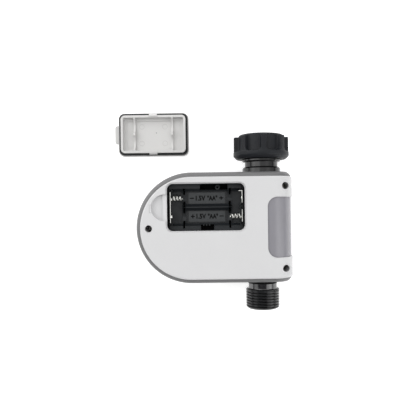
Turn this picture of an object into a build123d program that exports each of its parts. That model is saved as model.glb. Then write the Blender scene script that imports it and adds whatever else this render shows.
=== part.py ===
"""Battery-powered irrigation controller that screws onto a garden tap.

The frame is the controller lying on its front face: +Z points out of its rear face,
+Y runs against the water's way, towards the tap, and the origin is on the front face,
under the flow axis, half way up the case. Millimetres. The battery cover lies beside
the case, inside up, as it is when the batteries are changed.
"""
from build123d import *
import os

os.makedirs("parts", exist_ok=True)

# ---------------------------------------------------------------- driving dimensions
# Case
CASE_DEPTH = 58.0            # front face to rear face
END_X = -56.7                # centre of the case's half-round end
REAR_R = 39.5                # rear shell: half its width, and its end's radius
FRONT_R = 43.6               # front shell: the same
SIDE_X = 23.1                # the straight side beside the water pipe
WALL = 2.4
FLOOR = 3.6                  # thickness of the front face
RIM_Z = 50.0                 # where the rear shell meets the front shell
RIM_LEDGE = 2.5              # thickness of the front shell's inward rim
REAR_SIDE_R = 18.0           # rounding of the rear shell's straight side
RIM_SIDE_R = 16.0            # rounding of the joint line at the same side
CORNER_CUT = (4.8, 3.4)      # front shell's cut corners, along X and Y
WIDE = 60.0                  # half width of a cutting form that is wider than the case
FIT = 0.1                    # gap around pieces that are fitted and stay put

# Case screws and the tubes that they stand in
SCREW_SPOTS = [(END_X - 33.0, 0.0), (16.0, 32.0), (16.0, -32.0)]
BOSS_R = 4.0
SCREW_HOLE_R = 2.75
SCREW_SEAT_Z = 32.0
BOSS_END_Z = 30.0
SCREW_R = 1.45
PILOT_R = 1.5

# Battery compartment, for two AA cells side by side
CELL_D = 14.5
CELL_Z = 47.0                # height of the cells' axes
BAY_X = -45.5                # centre of the compartment
BAY_Y = 16.1
BAY_SIZE = (60.0, 36.5)
BAY_R = 4.6
BAY_FLOOR_Z = 39.0
BAY_WALL = 1.6
FRAME_Z = 54.0               # underside of the frame around the compartment
LEDGE = 0.9                  # ledge that the cover's plate lies on
PLATE_T = 1.6                # thickness of the cover's plate
CELL_YS = (BAY_Y + CELL_D / 2, BAY_Y - CELL_D / 2)
CRADLE_XS = (BAY_X - 17.4, BAY_X + 19.1)
CONTACT_Z = (40.2, 50.6)
LEFT_CONTACT_X = -73.3
RIGHT_CONTACT_X = -17.2
CONTACT_T = 0.5
LABEL_RISE = 0.4             # height of the label plates; the cells clear them
HOOK_NOTCHES = [(-39.2, 22.0, 1), (-44.4, 10.6, -1)]        # middle X, length, side of the bay
RIB_SLOTS = [(28.5, 5.0), (18.6, 4.6), (13.4, 4.4), (2.4, 6.0)]     # middle Y, length
LEFT_POST_YS = (29.4, 2.5)   # round posts at the ends of the contact plates
RIGHT_POST_YS = (30.4, 17.9, 15.4, 3.1)

# Battery cover
COVER_X = -90.7              # where the cover lies, taken off
COVER_Y = 80.3
SKIRT_GAP = 1.9              # from the compartment's wall to the cover's skirt
SKIRT_T = 2.0
SKIRT_END_Z = 51.0
COVER_RIB_X = 16.4
TAB_END_X = BAY_X - 33.8
TAB_WIDTH = 16.0
THUMB_X = BAY_X - BAY_SIZE[0] / 2 - 1.9
THUMB_R = 10.2
THUMB_CHORD_X = THUMB_X + 1.5
THUMB_DEPTH = 3.2
TAB_BED_X = -78.8            # left edge of the shallower bed that the tab lies on
TAB_BED_DEPTH = 1.8

# Grip panel
GRIP_LEFT_X = 1.8
GRIP_HALF_Y = 23.4
GRIP_CORNER_R = 7.6
GRIP_SINK = 0.9              # how far the panel lies below the shell's surface
GRIP_T = 1.2

# Water way
FLOW_Z = 31.0                # height of the flow axis
THREAD_R = 13.495            # 3/4 in garden hose thread: crest radius of the male thread
THREAD_PITCH = 25.4 / 11.5
THREAD_DEPTH = 1.25
NUT_BORE_R = 12.2            # crest radius of the female thread
BORE_R = 6.5                 # water way through the fittings
NUT_BOTTOM = 54.5
NUT_TOP = 74.3               # open end of the swivel nut
NUT_THREAD_START = 63.2
NUT_RIB_TOP = 72.6
NUT_RING_TOP = 60.4
NUT_DRUM_R = 18.25
NUT_RIB_R = 22.2
NUT_RING_R = 22.5
NUT_RIBS = 8
NUT_TURNS = 4
NUT_HOLE_R = 11.6
INLET_NECK_R = 13.3
OUTLET_NECK = -50.4          # where the outlet thread starts
OUTLET_END = -66.5           # free end of the outlet thread
OUTLET_TURNS = 6
SOCKET_R = 8.6               # sockets of the valve body
SOCKET_Y = 24.5              # their depth, measured from the middle of the case
BODY_HALF = 40.4             # half length of the valve body

# Valve
VALVE_Y = -22.0              # axis of the diaphragm and solenoid, along X
SEAT_X = -14.0               # face of the valve body that the diaphragm is clamped on
FLANGE_R = 16.5
CLAMP_T = 1.2
CORE_R = 4.1                 # inside of the core tube
CORE_WALL = 0.6
BONNET_X = -20.5             # outer face of the bonnet
BONNET_SCREW_R = 13.9        # radius of the ring of bonnet screws

# Front face
WINDOW_R = 33.0
WINDOW_RIGHT_X = -10.0
WINDOW_Z = (0.4, 2.0)
LCD_Y = 8.0
LCD_SIZE = (42.0, 27.0)
BUTTON_SIZE = (9.0, 5.5)
BUTTON_Y = -17.5
BUTTONS = {"mode": -18.0, "minus": -6.0, "plus": 6.0, "manual": 18.0}
PCB_Z = 11.0
PCB_T = 1.6
PCB_SPOTS = [(-77.0, 26.5), (-77.0, -26.5), (-24.0, 29.0), (-24.0, -29.0)]

FLOW_AXIS = Axis((0, 0, FLOW_Z), (0, 1, 0))
VALVE_AXIS = Axis((0, VALVE_Y, FLOW_Z), (1, 0, 0))
UPWARD = (Align.CENTER, Align.CENTER, Align.MIN)


# ---------------------------------------------------------------- shared shapes
def case_plan(height, radius, side_x, cut=(0.0, 0.0)):
    """Outline of the case: half-round left end, straight sides, and right corners that may be cut."""
    cut_x, cut_y = cut
    with BuildSketch(Plane.XY.offset(height)) as plan:
        with BuildLine():
            if cut_x:
                half = Polyline(
                    (END_X, radius), (side_x - cut_x, radius), (side_x, radius - cut_y), (side_x, 0)
                )
            else:
                half = Polyline((END_X, radius), (side_x, radius), (side_x, 0))
            mirror(half, about=Plane.XZ)
            ThreePointArc((END_X, radius), (END_X - radius, 0), (END_X, -radius))
        make_face()
    return plan.sketch


def case_form(radius, side_x, bottom, top, side_r, cut=(0.0, 0.0)):
    """Solid of the case's outline from bottom to top, with its straight side rounded at the top."""
    with BuildPart() as form:
        extrude(case_plan(bottom, radius, side_x, cut), amount=top - bottom)
        with BuildSketch(Plane.XZ):
            with BuildLine():
                Polyline(
                    (side_x, top - side_r), (side_x, bottom), (-120, bottom), (-120, top),
                    (side_x - side_r, top),
                )
                RadiusArc((side_x - side_r, top), (side_x, top - side_r), side_r)
            make_face()
        extrude(amount=WIDE + 10, both=True, mode=Mode.INTERSECT)
    return form.part


def bay_outline(height, grow, corner_r):
    """Rounded rectangle of the battery compartment, grown on every side."""
    with BuildSketch(Plane.XY.offset(height)) as outline:
        with Locations((BAY_X, BAY_Y)):
            RectangleRounded(BAY_SIZE[0] + 2 * grow, BAY_SIZE[1] + 2 * grow, corner_r)
    return outline.sketch


def thumb_outline(height, grow, chord_x):
    """Thumb recess beside the compartment: a circle, cut off to the right of a chord."""
    with BuildSketch(Plane.XY.offset(height)) as outline:
        with Locations((THUMB_X, BAY_Y)):
            Circle(THUMB_R + grow)
        with Locations((chord_x + 20, BAY_Y)):
            Rectangle(40, 60, mode=Mode.SUBTRACT)
    return outline.sketch


def grip_plan(margin):
    """Plan of the grip panel: rounded on the left, and running off the straight side."""
    width = 2 * (SIDE_X + 10 - GRIP_LEFT_X) + 2 * margin
    with BuildSketch(Plane.XY.offset(RIM_Z - 20)) as plan:
        with Locations((SIDE_X + 10, 0)):
            RectangleRounded(width, 2 * (GRIP_HALF_Y + margin), GRIP_CORNER_R + margin)
    return plan.sketch


def grip_layer(outer_depth, inner_depth, margin):
    """Layer of the case's rounded side, between two depths below its surface, over the grip's plan."""
    base = RIM_Z - RIM_SIDE_R
    outside = case_form(WIDE, SIDE_X - outer_depth, base, CASE_DEPTH - outer_depth, REAR_SIDE_R - outer_depth)
    inside = case_form(WIDE, SIDE_X - inner_depth, base - 4, CASE_DEPTH - inner_depth, REAR_SIDE_R - inner_depth)
    with BuildPart() as layer:
        add(outside)
        add(inside, mode=Mode.SUBTRACT)
        extrude(grip_plan(margin), amount=40, mode=Mode.INTERSECT)
    return layer.part


def flow_profile(points):
    """Sketch for a solid turned about the flow axis, from (radius, y) points."""
    with BuildSketch(Plane.XY.offset(FLOW_Z)) as profile:
        with BuildLine():
            Polyline(*points, close=True)
        make_face()
    return profile.sketch


def valve_profile(points):
    """Sketch for a solid turned about the valve axis, from (x, radius) points."""
    with BuildSketch(Plane.XY.offset(FLOW_Z)) as profile:
        with BuildLine():
            Polyline(*[(x, VALVE_Y + radius) for x, radius in points], close=True)
        make_face()
    return profile.sketch


def flow_plane(y):
    """Plane across the flow axis, facing +Y."""
    return Plane(origin=(0, y, FLOW_Z), x_dir=(1, 0, 0), z_dir=(0, 1, 0))


def valve_plane(x):
    """Plane across the valve axis, facing -X."""
    return Plane(origin=(x, VALVE_Y, FLOW_Z), x_dir=(0, 1, 0), z_dir=(-1, 0, 0))


def thread_points(start_y, turns, crest_r, root_r):
    """Profile points (radius, y) of a thread whose turns stand as rings, from start_y upwards."""
    points = []
    for turn in range(turns):
        groove_y = start_y + (turn + 0.5) * THREAD_PITCH
        points += [
            (crest_r, groove_y - 0.85), (root_r, groove_y - 0.25), (root_r, groove_y + 0.25), (crest_r, groove_y + 0.85)
        ]
    return points


def coil_spring(start, direction, pitch, length, radius, wire_r, cone_angle=0.0):
    """Open coil spring that starts at a point and runs along a direction."""
    with BuildPart() as spring:
        with BuildLine() as centre_line:
            Helix(pitch, length, radius, center=start, direction=direction, cone_angle=cone_angle)
        with BuildSketch(Plane(origin=centre_line.line @ 0, z_dir=centre_line.line % 0)):
            Circle(wire_r)
        sweep(path=centre_line.line, is_frenet=True)
    return spring


def o_ring(middle_r, cord_r, y):
    """O-ring about the flow axis."""
    with BuildPart() as ring:
        with BuildSketch(Plane.XY.offset(FLOW_Z)):
            with Locations((middle_r, y)):
                Circle(cord_r)
        revolve(axis=FLOW_AXIS)
    return ring


def lead(points, bend_r, wire_r):
    """Round insulated wire along a path of straight runs and arcs."""
    with BuildPart() as wire:
        with BuildLine() as route:
            FilletPolyline(*points, radius=bend_r)
        with BuildSketch(Plane(origin=route.line @ 0, z_dir=route.line % 0)):
            Circle(wire_r)
        sweep(path=route.line)
    return wire.part


# ---------------------------------------------------------------- case shells
def make_frame_pad():
    """Extra thickness under the rear face, around the compartment and the thumb recess."""
    with BuildPart() as pad:
        extrude(bay_outline(FRAME_Z, 4.0, 6.0), amount=3.0)
        extrude(thumb_outline(FRAME_Z, 2.0, THUMB_CHORD_X), amount=2.8)
        add(
            case_form(REAR_R - 1, SIDE_X - 1, RIM_Z - RIM_SIDE_R, CASE_DEPTH - 1, REAR_SIDE_R - 1),
            mode=Mode.INTERSECT,
        )
    return pad.part


def make_rear_shell():
    """Rear shell: compartment frame, thumb recess, grip recess and screw tubes."""
    joint_z = RIM_Z - RIM_SIDE_R
    with BuildPart() as shell:
        add(case_form(REAR_R, SIDE_X, joint_z, CASE_DEPTH, REAR_SIDE_R))
        rim = shell.faces().sort_by(Axis.Z)[-1].edges()
        fillet(rim - rim.filter_by(Axis.Y), 1.2)
        add(
            case_form(REAR_R - WALL, SIDE_X - WALL, joint_z - 4, CASE_DEPTH - WALL, REAR_SIDE_R - WALL),
            mode=Mode.SUBTRACT,
        )
        # thicker wall behind the compartment's frame, the thumb recess and the grip recess
        add(make_frame_pad())
        add(grip_layer(2.0, 3.6, 2.0))
        add(case_form(WIDE, SIDE_X, joint_z - 14, RIM_Z, RIM_SIDE_R), mode=Mode.SUBTRACT)
        with Locations(*[(x, y, BOSS_END_Z) for x, y in SCREW_SPOTS]):
            Cylinder(BOSS_R, 24, align=UPWARD)
        with Locations((SCREW_SPOTS[0][0], 0, BOSS_END_Z)):
            Cylinder(BOSS_R, CASE_DEPTH - WALL - BOSS_END_Z + 0.5, align=UPWARD)
        with Locations(*[(x, y, SCREW_SEAT_Z) for x, y in SCREW_SPOTS]):
            Cylinder(SCREW_HOLE_R, 40, align=UPWARD, mode=Mode.SUBTRACT)
        with Locations(*[(x, y, BOSS_END_Z) for x, y in SCREW_SPOTS]):
            Cylinder(PILOT_R + 0.2, 10, align=UPWARD, mode=Mode.SUBTRACT)
        # room for the battery box, a ledge for the cover's plate, then the opening
        extrude(bay_outline(BAY_FLOOR_Z, BAY_WALL + FIT, BAY_R + BAY_WALL), amount=FRAME_Z - BAY_FLOOR_Z,
                mode=Mode.SUBTRACT)
        extrude(bay_outline(CASE_DEPTH - PLATE_T, LEDGE, BAY_R + LEDGE), amount=5, mode=Mode.SUBTRACT)
        extrude(bay_outline(FRAME_Z - 1, 0, BAY_R), amount=8, mode=Mode.SUBTRACT)
        # thumb recess, and the shallower bed of the cover's tab
        extrude(thumb_outline(CASE_DEPTH - TAB_BED_DEPTH, 0, THUMB_CHORD_X), amount=5, mode=Mode.SUBTRACT)
        extrude(thumb_outline(CASE_DEPTH - THUMB_DEPTH, 0, TAB_BED_X), amount=5, mode=Mode.SUBTRACT)
        add(grip_layer(-5.0, GRIP_SINK + GRIP_T, 0.0), mode=Mode.SUBTRACT)
    return shell


rear_shell = make_rear_shell()
rear_shell.part.label = "rear_shell"
export_step(rear_shell.part, "parts/rear_shell.step")


# Seal in a groove along the joint line between the shells
with BuildPart() as case_seal:
    extrude(case_plan(FLOW_Z, REAR_R - 0.7, SIDE_X - 0.7), amount=30)
    extrude(case_plan(FLOW_Z, REAR_R - 1.7, SIDE_X - 1.7), amount=30, mode=Mode.SUBTRACT)
    add(case_form(WIDE, SIDE_X, 20, RIM_Z, RIM_SIDE_R), mode=Mode.INTERSECT)
    add(case_form(WIDE, SIDE_X - 1, 19, RIM_Z - 1, RIM_SIDE_R - 1), mode=Mode.SUBTRACT)
    extrude(bay_outline(BOSS_END_Z, BAY_WALL + FIT, BAY_R + BAY_WALL), amount=30, mode=Mode.SUBTRACT)
case_seal.part.label = "case_seal"
export_step(case_seal.part, "parts/case_seal.step")


def make_front_shell():
    """Front shell: a tub with an inward rim, window recess, pipe holes, screw posts and saddles."""
    with BuildPart() as shell:
        add(case_form(FRONT_R, SIDE_X, 0, RIM_Z, RIM_SIDE_R, CORNER_CUT))
        rim = shell.faces().filter_by(Axis.Z).sort_by(Axis.Z)[-1].edges()
        fillet(rim - rim.filter_by(Axis.Y), 3.0)
        fillet(shell.faces().filter_by(Axis.Z).sort_by(Axis.Z)[0].edges(), 5.0)
        inner_r = FRONT_R - WALL
        inner_x = SIDE_X - WALL
        add(
            case_form(inner_r, inner_x, FLOOR, RIM_Z - RIM_LEDGE, RIM_SIDE_R - RIM_LEDGE),
            mode=Mode.SUBTRACT,
        )
        extrude(case_plan(BOSS_END_Z, REAR_R - WALL, inner_x), amount=40, mode=Mode.SUBTRACT)
        extrude(bay_outline(BOSS_END_Z, BAY_WALL + FIT, BAY_R + BAY_WALL), amount=30, mode=Mode.SUBTRACT)
        add(case_seal.part, mode=Mode.SUBTRACT)
        # posts: case screws, circuit board, and saddles under the valve body
        with Locations(*[(x, y, FLOOR - 0.5) for x, y in SCREW_SPOTS]):
            Cylinder(BOSS_R, BOSS_END_Z - FLOOR + 0.5, align=UPWARD)
        with Locations(*[(x, y, BOSS_END_Z - 18) for x, y in SCREW_SPOTS]):
            Cylinder(PILOT_R, 18, align=UPWARD, mode=Mode.SUBTRACT)
        with Locations(*[(x, y, FLOOR - 0.5) for x, y in PCB_SPOTS]):
            Cylinder(2.4, PCB_Z - FLOOR + 0.5, align=UPWARD)
        with Locations(*[(x, y, PCB_Z - 6) for x, y in PCB_SPOTS]):
            Cylinder(1.05, 6, align=UPWARD, mode=Mode.SUBTRACT)
        with Locations((0, 18, FLOOR - 0.5), (0, 0, FLOOR - 0.5)):
            Box(22, 3, FLOW_Z - FLOOR + 0.5, align=UPWARD)
        with BuildSketch(flow_plane(24)):
            Circle(10.9)
        extrude(amount=-30, mode=Mode.SUBTRACT)
        # holes for the inlet and outlet fittings
        with BuildSketch(flow_plane(inner_r - 3)):
            Circle(9.6)
        extrude(amount=10, mode=Mode.SUBTRACT)
        with BuildSketch(flow_plane(-inner_r + 3)):
            Circle(11.25)
        extrude(amount=-10, mode=Mode.SUBTRACT)
        # front face: recess for the window, opening for the display, holes for the buttons
        window_hole = case_plan(-1, WINDOW_R + FIT, WINDOW_RIGHT_X + FIT)
        extrude(window_hole, amount=WINDOW_Z[1] + 1, mode=Mode.SUBTRACT)
        with BuildSketch(Plane.XY):
            with Locations((END_X, LCD_Y)):
                Rectangle(LCD_SIZE[0] + 1, LCD_SIZE[1] + 1)
            with Locations(*[(END_X + x, BUTTON_Y) for x in BUTTONS.values()]):
                RectangleRounded(BUTTON_SIZE[0] + 0.4, BUTTON_SIZE[1] + 0.4, 1.7)
        extrude(amount=FLOOR + 1, mode=Mode.SUBTRACT)
    return shell


front_shell = make_front_shell()
front_shell.part.label = "front_shell"
export_step(front_shell.part, "parts/front_shell.step")

# Soft grip panel, bent round the straight side
with BuildPart() as grip_panel:
    add(grip_layer(GRIP_SINK, GRIP_SINK + GRIP_T, -FIT))
    add(case_form(WIDE, SIDE_X, FLOW_Z, RIM_Z + FIT, RIM_SIDE_R), mode=Mode.SUBTRACT)
grip_panel.part.label = "grip_panel"
export_step(grip_panel.part, "parts/grip_panel.step")

# Case screws: pan heads deep in the rear shell's tubes
with BuildPart() as case_screws:
    with Locations(*[(x, y, SCREW_SEAT_Z) for x, y in SCREW_SPOTS]):
        Cylinder(2.5, 1.8, align=UPWARD)
    with Locations(*[(x, y, SCREW_SEAT_Z - 16) for x, y in SCREW_SPOTS]):
        Cylinder(SCREW_R, 16, align=UPWARD)
    with Locations(*[(x, y, SCREW_SEAT_Z + 1.0) for x, y in SCREW_SPOTS]):
        Box(3.4, 0.7, 2, align=UPWARD, mode=Mode.SUBTRACT)
        Box(0.7, 3.4, 2, align=UPWARD, mode=Mode.SUBTRACT)
case_screws.part.label = "case_screws"
export_step(case_screws.part, "parts/case_screws.step")


# ---------------------------------------------------------------- front face and electronics
# Window over the display, with a hole for each button
with BuildPart() as display_window:
    extrude(case_plan(WINDOW_Z[0], WINDOW_R, WINDOW_RIGHT_X), amount=WINDOW_Z[1] - WINDOW_Z[0])
    with BuildSketch(Plane.XY):
        with Locations(*[(END_X + x, BUTTON_Y) for x in BUTTONS.values()]):
            RectangleRounded(BUTTON_SIZE[0] + 0.4, BUTTON_SIZE[1] + 0.4, 1.7)
    extrude(amount=FLOOR, mode=Mode.SUBTRACT)
display_window.part.label = "display_window"
export_step(display_window.part, "parts/display_window.step")

# Push buttons: cap, flange inside the front face, and a stem towards its switch
for button_name, button_x in BUTTONS.items():
    with BuildPart() as button:
        with BuildSketch(Plane.XY.offset(0.25)):
            with Locations((END_X + button_x, BUTTON_Y)):
                RectangleRounded(*BUTTON_SIZE, 1.5)
        extrude(amount=FLOOR)
        fillet(button.faces().sort_by(Axis.Z)[0].edges(), 0.5)
        with BuildSketch(Plane.XY.offset(FLOOR + 0.15)):
            with Locations((END_X + button_x, BUTTON_Y)):
                RectangleRounded(BUTTON_SIZE[0] + 1.8, BUTTON_SIZE[1] + 2.0, 2.0)
        extrude(amount=1.0)
        with Locations((END_X + button_x, BUTTON_Y, FLOOR + 1.0)):
            Cylinder(1.8, 1.5, align=UPWARD)
    button.part.label = f"button_{button_name}"
    export_step(button.part, f"parts/button_{button_name}.step")

# Display: glass in a holder that stands on the circuit board
with BuildPart() as lcd_glass:
    with Locations((END_X, LCD_Y, FLOOR + 0.2)):
        Box(LCD_SIZE[0] + 2, LCD_SIZE[1] + 2, 2.2, align=UPWARD)
lcd_glass.part.label = "lcd_glass"
export_step(lcd_glass.part, "parts/lcd_glass.step")

with BuildPart() as lcd_holder:
    with Locations((END_X, LCD_Y, FLOOR + 1.0)):
        Box(LCD_SIZE[0] + 4, LCD_SIZE[1] + 4, PCB_Z - FLOOR - 1.0, align=UPWARD)
        Box(LCD_SIZE[0] + 2.1, LCD_SIZE[1] + 2.1, 1.45, align=UPWARD, mode=Mode.SUBTRACT)
lcd_holder.part.label = "lcd_holder"
export_step(lcd_holder.part, "parts/lcd_holder.step")

# Circuit board, cut back around the left screw tube
with BuildPart() as circuit_board:
    extrude(case_plan(PCB_Z, 36.0, -18.0), amount=PCB_T)
    with Locations((SCREW_SPOTS[0][0], 0, PCB_Z - 1)):
        Cylinder(BOSS_R + 1, 5, align=UPWARD, mode=Mode.SUBTRACT)
    with Locations(*[(x, y, PCB_Z - 1) for x, y in PCB_SPOTS]):
        Cylinder(1.2, 5, align=UPWARD, mode=Mode.SUBTRACT)
circuit_board.part.label = "circuit_board"
export_step(circuit_board.part, "parts/circuit_board.step")

with BuildPart() as board_screws:
    with Locations(*[(x, y, PCB_Z + PCB_T) for x, y in PCB_SPOTS]):
        Cylinder(2.1, 1.3, align=UPWARD)
    with Locations(*[(x, y, PCB_Z + PCB_T - 7) for x, y in PCB_SPOTS]):
        Cylinder(1.0, 7, align=UPWARD)
board_screws.part.label = "board_screws"
export_step(board_screws.part, "parts/board_screws.step")

# One tact switch behind each button
with BuildPart() as tact_switches:
    with Locations(*[(END_X + x, BUTTON_Y, PCB_Z - 3.4) for x in BUTTONS.values()]):
        Box(6, 6, 3.4, align=UPWARD)
    with Locations(*[(END_X + x, BUTTON_Y, PCB_Z - 4.2) for x in BUTTONS.values()]):
        Cylinder(1.7, 0.8, align=UPWARD)
tact_switches.part.label = "tact_switches"
export_step(tact_switches.part, "parts/tact_switches.step")

# Controller chip, radio module, capacitor and sounder on the back of the board
BOARD_TOP = PCB_Z + PCB_T
with BuildPart() as board_components:
    with Locations((-56, 22, BOARD_TOP)):
        Box(10, 10, 1.6, align=UPWARD)
    with Locations((-74, 8, BOARD_TOP)):
        Box(12, 16, 2.6, align=UPWARD)
    with Locations((-72, -16, BOARD_TOP)):
        Cylinder(4.0, 6.0, align=UPWARD)
    with Locations((-57, -22, BOARD_TOP)):
        Cylinder(2.5, 5.0, align=UPWARD)
board_components.part.label = "board_components"
export_step(board_components.part, "parts/board_components.step")

# Plug-in connectors of the battery leads and of the solenoid leads
CONNECTOR_TOP = BOARD_TOP + 4.0
BATTERY_PLUG = (-28.0, 16.0)
SOLENOID_PLUG = (-40.0, -5.0)
with BuildPart() as lead_connectors:
    with Locations((*BATTERY_PLUG, BOARD_TOP), (*SOLENOID_PLUG, BOARD_TOP)):
        Box(5.5, 8, CONNECTOR_TOP - BOARD_TOP, align=UPWARD)
lead_connectors.part.label = "lead_connectors"
export_step(lead_connectors.part, "parts/lead_connectors.step")

# ---------------------------------------------------------------- battery compartment
def make_battery_box():
    """Tub under the compartment's frame: curved shelves, slotted cross ribs, label plates."""
    floor_z = BAY_FLOOR_Z
    half_x = BAY_SIZE[0] / 2
    half_y = BAY_SIZE[1] / 2
    rib_rise = CELL_Z - floor_z
    with BuildPart() as tub:
        bottom = floor_z - 1.8
        extrude(bay_outline(bottom, BAY_WALL, BAY_R + BAY_WALL), amount=FRAME_Z - bottom)
        extrude(bay_outline(floor_z, 0, BAY_R), amount=FRAME_Z, mode=Mode.SUBTRACT)
        # shelves along the two long walls
        for side in (1, -1):
            with Locations((BAY_X, BAY_Y + side * (half_y - 2.65), floor_z)):
                Box(BAY_SIZE[0] - 2.0, 5.5, rib_rise, align=UPWARD)
        # cross ribs, and a ridge between the cells
        for rib_x in CRADLE_XS:
            with Locations((rib_x, BAY_Y, floor_z)):
                Box(3.0, BAY_SIZE[1] - 4, rib_rise, align=UPWARD)
        with Locations((BAY_X + 0.7, BAY_Y, floor_z)):
            Box(CRADLE_XS[1] - CRADLE_XS[0], 5.0, 5.2, align=UPWARD)
        # the cells' space
        for cell_y in CELL_YS:
            with BuildSketch(Plane.YZ.offset(BAY_X - half_x + 0.5)):
                with Locations((cell_y, CELL_Z)):
                    Circle(CELL_D / 2 + 0.2)
            extrude(amount=BAY_SIZE[0] - 1.0, mode=Mode.SUBTRACT)
        # slots through the cross ribs
        for rib_x in CRADLE_XS:
            for slot_y, length in RIB_SLOTS:
                with Locations((rib_x, slot_y, floor_z - 0.8)):
                    Box(1.5, length, CELL_Z, align=UPWARD, mode=Mode.SUBTRACT)
        # notches in the shelves; one holds small ribs, the other a round boss
        for notch_x, length, side in HOOK_NOTCHES:
            with Locations((notch_x, BAY_Y + side * (half_y - 2.3), floor_z)):
                Box(length, 4.6, rib_rise, align=UPWARD, mode=Mode.SUBTRACT)
        for step in (-2.3, 0, 2.3):
            with Locations((HOOK_NOTCHES[1][0] - 0.7 + step, BAY_Y - half_y + 4.1, floor_z)):
                Box(0.9, 1.2, 5.5, align=UPWARD)
        with Locations((HOOK_NOTCHES[0][0] + 3.0, BAY_Y + half_y - 2.5, floor_z)):
            Cylinder(1.9, 4.0, align=UPWARD)
            Cylinder(0.9, 5.0, align=UPWARD, mode=Mode.SUBTRACT)
        # label plates under the cells
        with Locations(*[(BAY_X + 0.7, cell_y, floor_z) for cell_y in CELL_YS]):
            Box(29.5, 9.2, LABEL_RISE, align=UPWARD)
        # slots that the cover's hooks snap into
        with Locations((BAY_X, BAY_Y, FRAME_Z - 4.5)):
            Box(10.2, BAY_SIZE[1] + 2.4, 2.6, align=UPWARD, mode=Mode.SUBTRACT)
        # hollow posts beside the contact plates, and pads that back the plates
        posts = [(LEFT_CONTACT_X, y) for y in LEFT_POST_YS] + [(RIGHT_CONTACT_X, y) for y in RIGHT_POST_YS]
        for post_x, post_y in posts:
            with Locations((post_x, post_y, floor_z)):
                Cylinder(1.3, 8.0, align=UPWARD)
            with Locations((post_x, post_y, floor_z + 3.0)):
                Cylinder(0.8, 8.0, align=UPWARD, mode=Mode.SUBTRACT)
        for side in (1, -1):
            left_pad = LEFT_CONTACT_X - CONTACT_T / 2 - 0.1 - (BAY_X - half_x)
            right_pad = BAY_X + half_x - RIGHT_CONTACT_X - CONTACT_T / 2 - 0.1
            with Locations((BAY_X - half_x + left_pad / 2, BAY_Y + side * 7.5, floor_z)):
                Box(left_pad, 1.6, 6.0, align=UPWARD)
            with Locations((BAY_X + half_x - right_pad / 2, BAY_Y + side * 7.5, floor_z)):
                Box(right_pad, 1.6, 6.0, align=UPWARD)
    return tub


battery_box = make_battery_box()
battery_box.part.label = "battery_box"
export_step(battery_box.part, "parts/battery_box.step")

contact_height = CONTACT_Z[1] - CONTACT_Z[0]
contact_mid_z = (CONTACT_Z[0] + CONTACT_Z[1]) / 2

# One strip on the left joins both cells; its dimple meets the lower cell's button
with BuildPart() as contact_bridge:
    with Locations((LEFT_CONTACT_X, BAY_Y, contact_mid_z)):
        Box(CONTACT_T, 24.0, contact_height)
    with BuildSketch(Plane.YZ.offset(LEFT_CONTACT_X)):
        with Locations((CELL_YS[1], CELL_Z)):
            Circle(2.2)
    extrude(amount=1.3, taper=25)
contact_bridge.part.label = "contact_bridge"
export_step(contact_bridge.part, "parts/contact_bridge.step")

# Plate on the right for the upper cell's button, with one edge folded forward
with BuildPart() as contact_positive:
    with Locations((RIGHT_CONTACT_X, CELL_YS[0] + 0.8, contact_mid_z)):
        Box(CONTACT_T, 9.5, contact_height)
    with Locations((RIGHT_CONTACT_X - 1.2, CELL_YS[0] + 5.3, contact_mid_z)):
        Box(2.4 + CONTACT_T, CONTACT_T, contact_height)
    with BuildSketch(Plane.YZ.offset(RIGHT_CONTACT_X)):
        with Locations((CELL_YS[0], CELL_Z)):
            Circle(2.2)
    extrude(amount=-0.5, taper=25)
contact_positive.part.label = "contact_positive"
export_step(contact_positive.part, "parts/contact_positive.step")

# Plate on the right that carries the lower cell's spring
with BuildPart() as contact_negative:
    with Locations((RIGHT_CONTACT_X, CELL_YS[1] + 0.4, contact_mid_z)):
        Box(CONTACT_T, 9.5, contact_height)
contact_negative.part.label = "contact_negative"
export_step(contact_negative.part, "parts/contact_negative.step")

SPRING_WIRE_R = 0.45
SPRING_START = CONTACT_T / 2 + SPRING_WIRE_R + 0.01
bridge_spring = coil_spring(
    (LEFT_CONTACT_X + SPRING_START, CELL_YS[0], CELL_Z), (1, 0, 0), 2.45, 8.5, 2.9, SPRING_WIRE_R,
    cone_angle=-4.5,
)
bridge_spring.part.label = "bridge_spring"
export_step(bridge_spring.part, "parts/bridge_spring.step")

negative_spring = coil_spring(
    (RIGHT_CONTACT_X - SPRING_START, CELL_YS[1], CELL_Z), (-1, 0, 0), 2.75, 8.5, 2.9, SPRING_WIRE_R,
    cone_angle=-4.5,
)
negative_spring.part.label = "negative_spring"
export_step(negative_spring.part, "parts/negative_spring.step")

# Leads from the right-hand contacts' tails down to the board
with BuildPart() as battery_leads:
    for cell_y, plug_y in zip(CELL_YS, (BATTERY_PLUG[1] + 1.5, BATTERY_PLUG[1] - 1.5)):
        add(
            lead(
                [
                    (RIGHT_CONTACT_X, cell_y, BAY_FLOOR_Z - 1.8),
                    (RIGHT_CONTACT_X, cell_y, 29.0),
                    (BATTERY_PLUG[0], plug_y, 24.0),
                    (BATTERY_PLUG[0], plug_y, CONNECTOR_TOP),
                ],
                3.0,
                0.6,
            )
        )
battery_leads.part.label = "battery_leads"
export_step(battery_leads.part, "parts/battery_leads.step")


# ---------------------------------------------------------------- battery cover
def bay_ring(low, high, outer_grow, outer_r, inner_grow, inner_r):
    """Ring that follows the compartment's outline."""
    with BuildPart() as ring:
        extrude(bay_outline(low, outer_grow, outer_r), amount=high - low)
        extrude(bay_outline(low, inner_grow, inner_r), amount=high - low, mode=Mode.SUBTRACT)
    return ring.part


PLATE_Z = CASE_DEPTH - PLATE_T
PLATE_GROW = LEDGE - 0.2
SKIRT_INNER = -(SKIRT_GAP + SKIRT_T)


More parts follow.
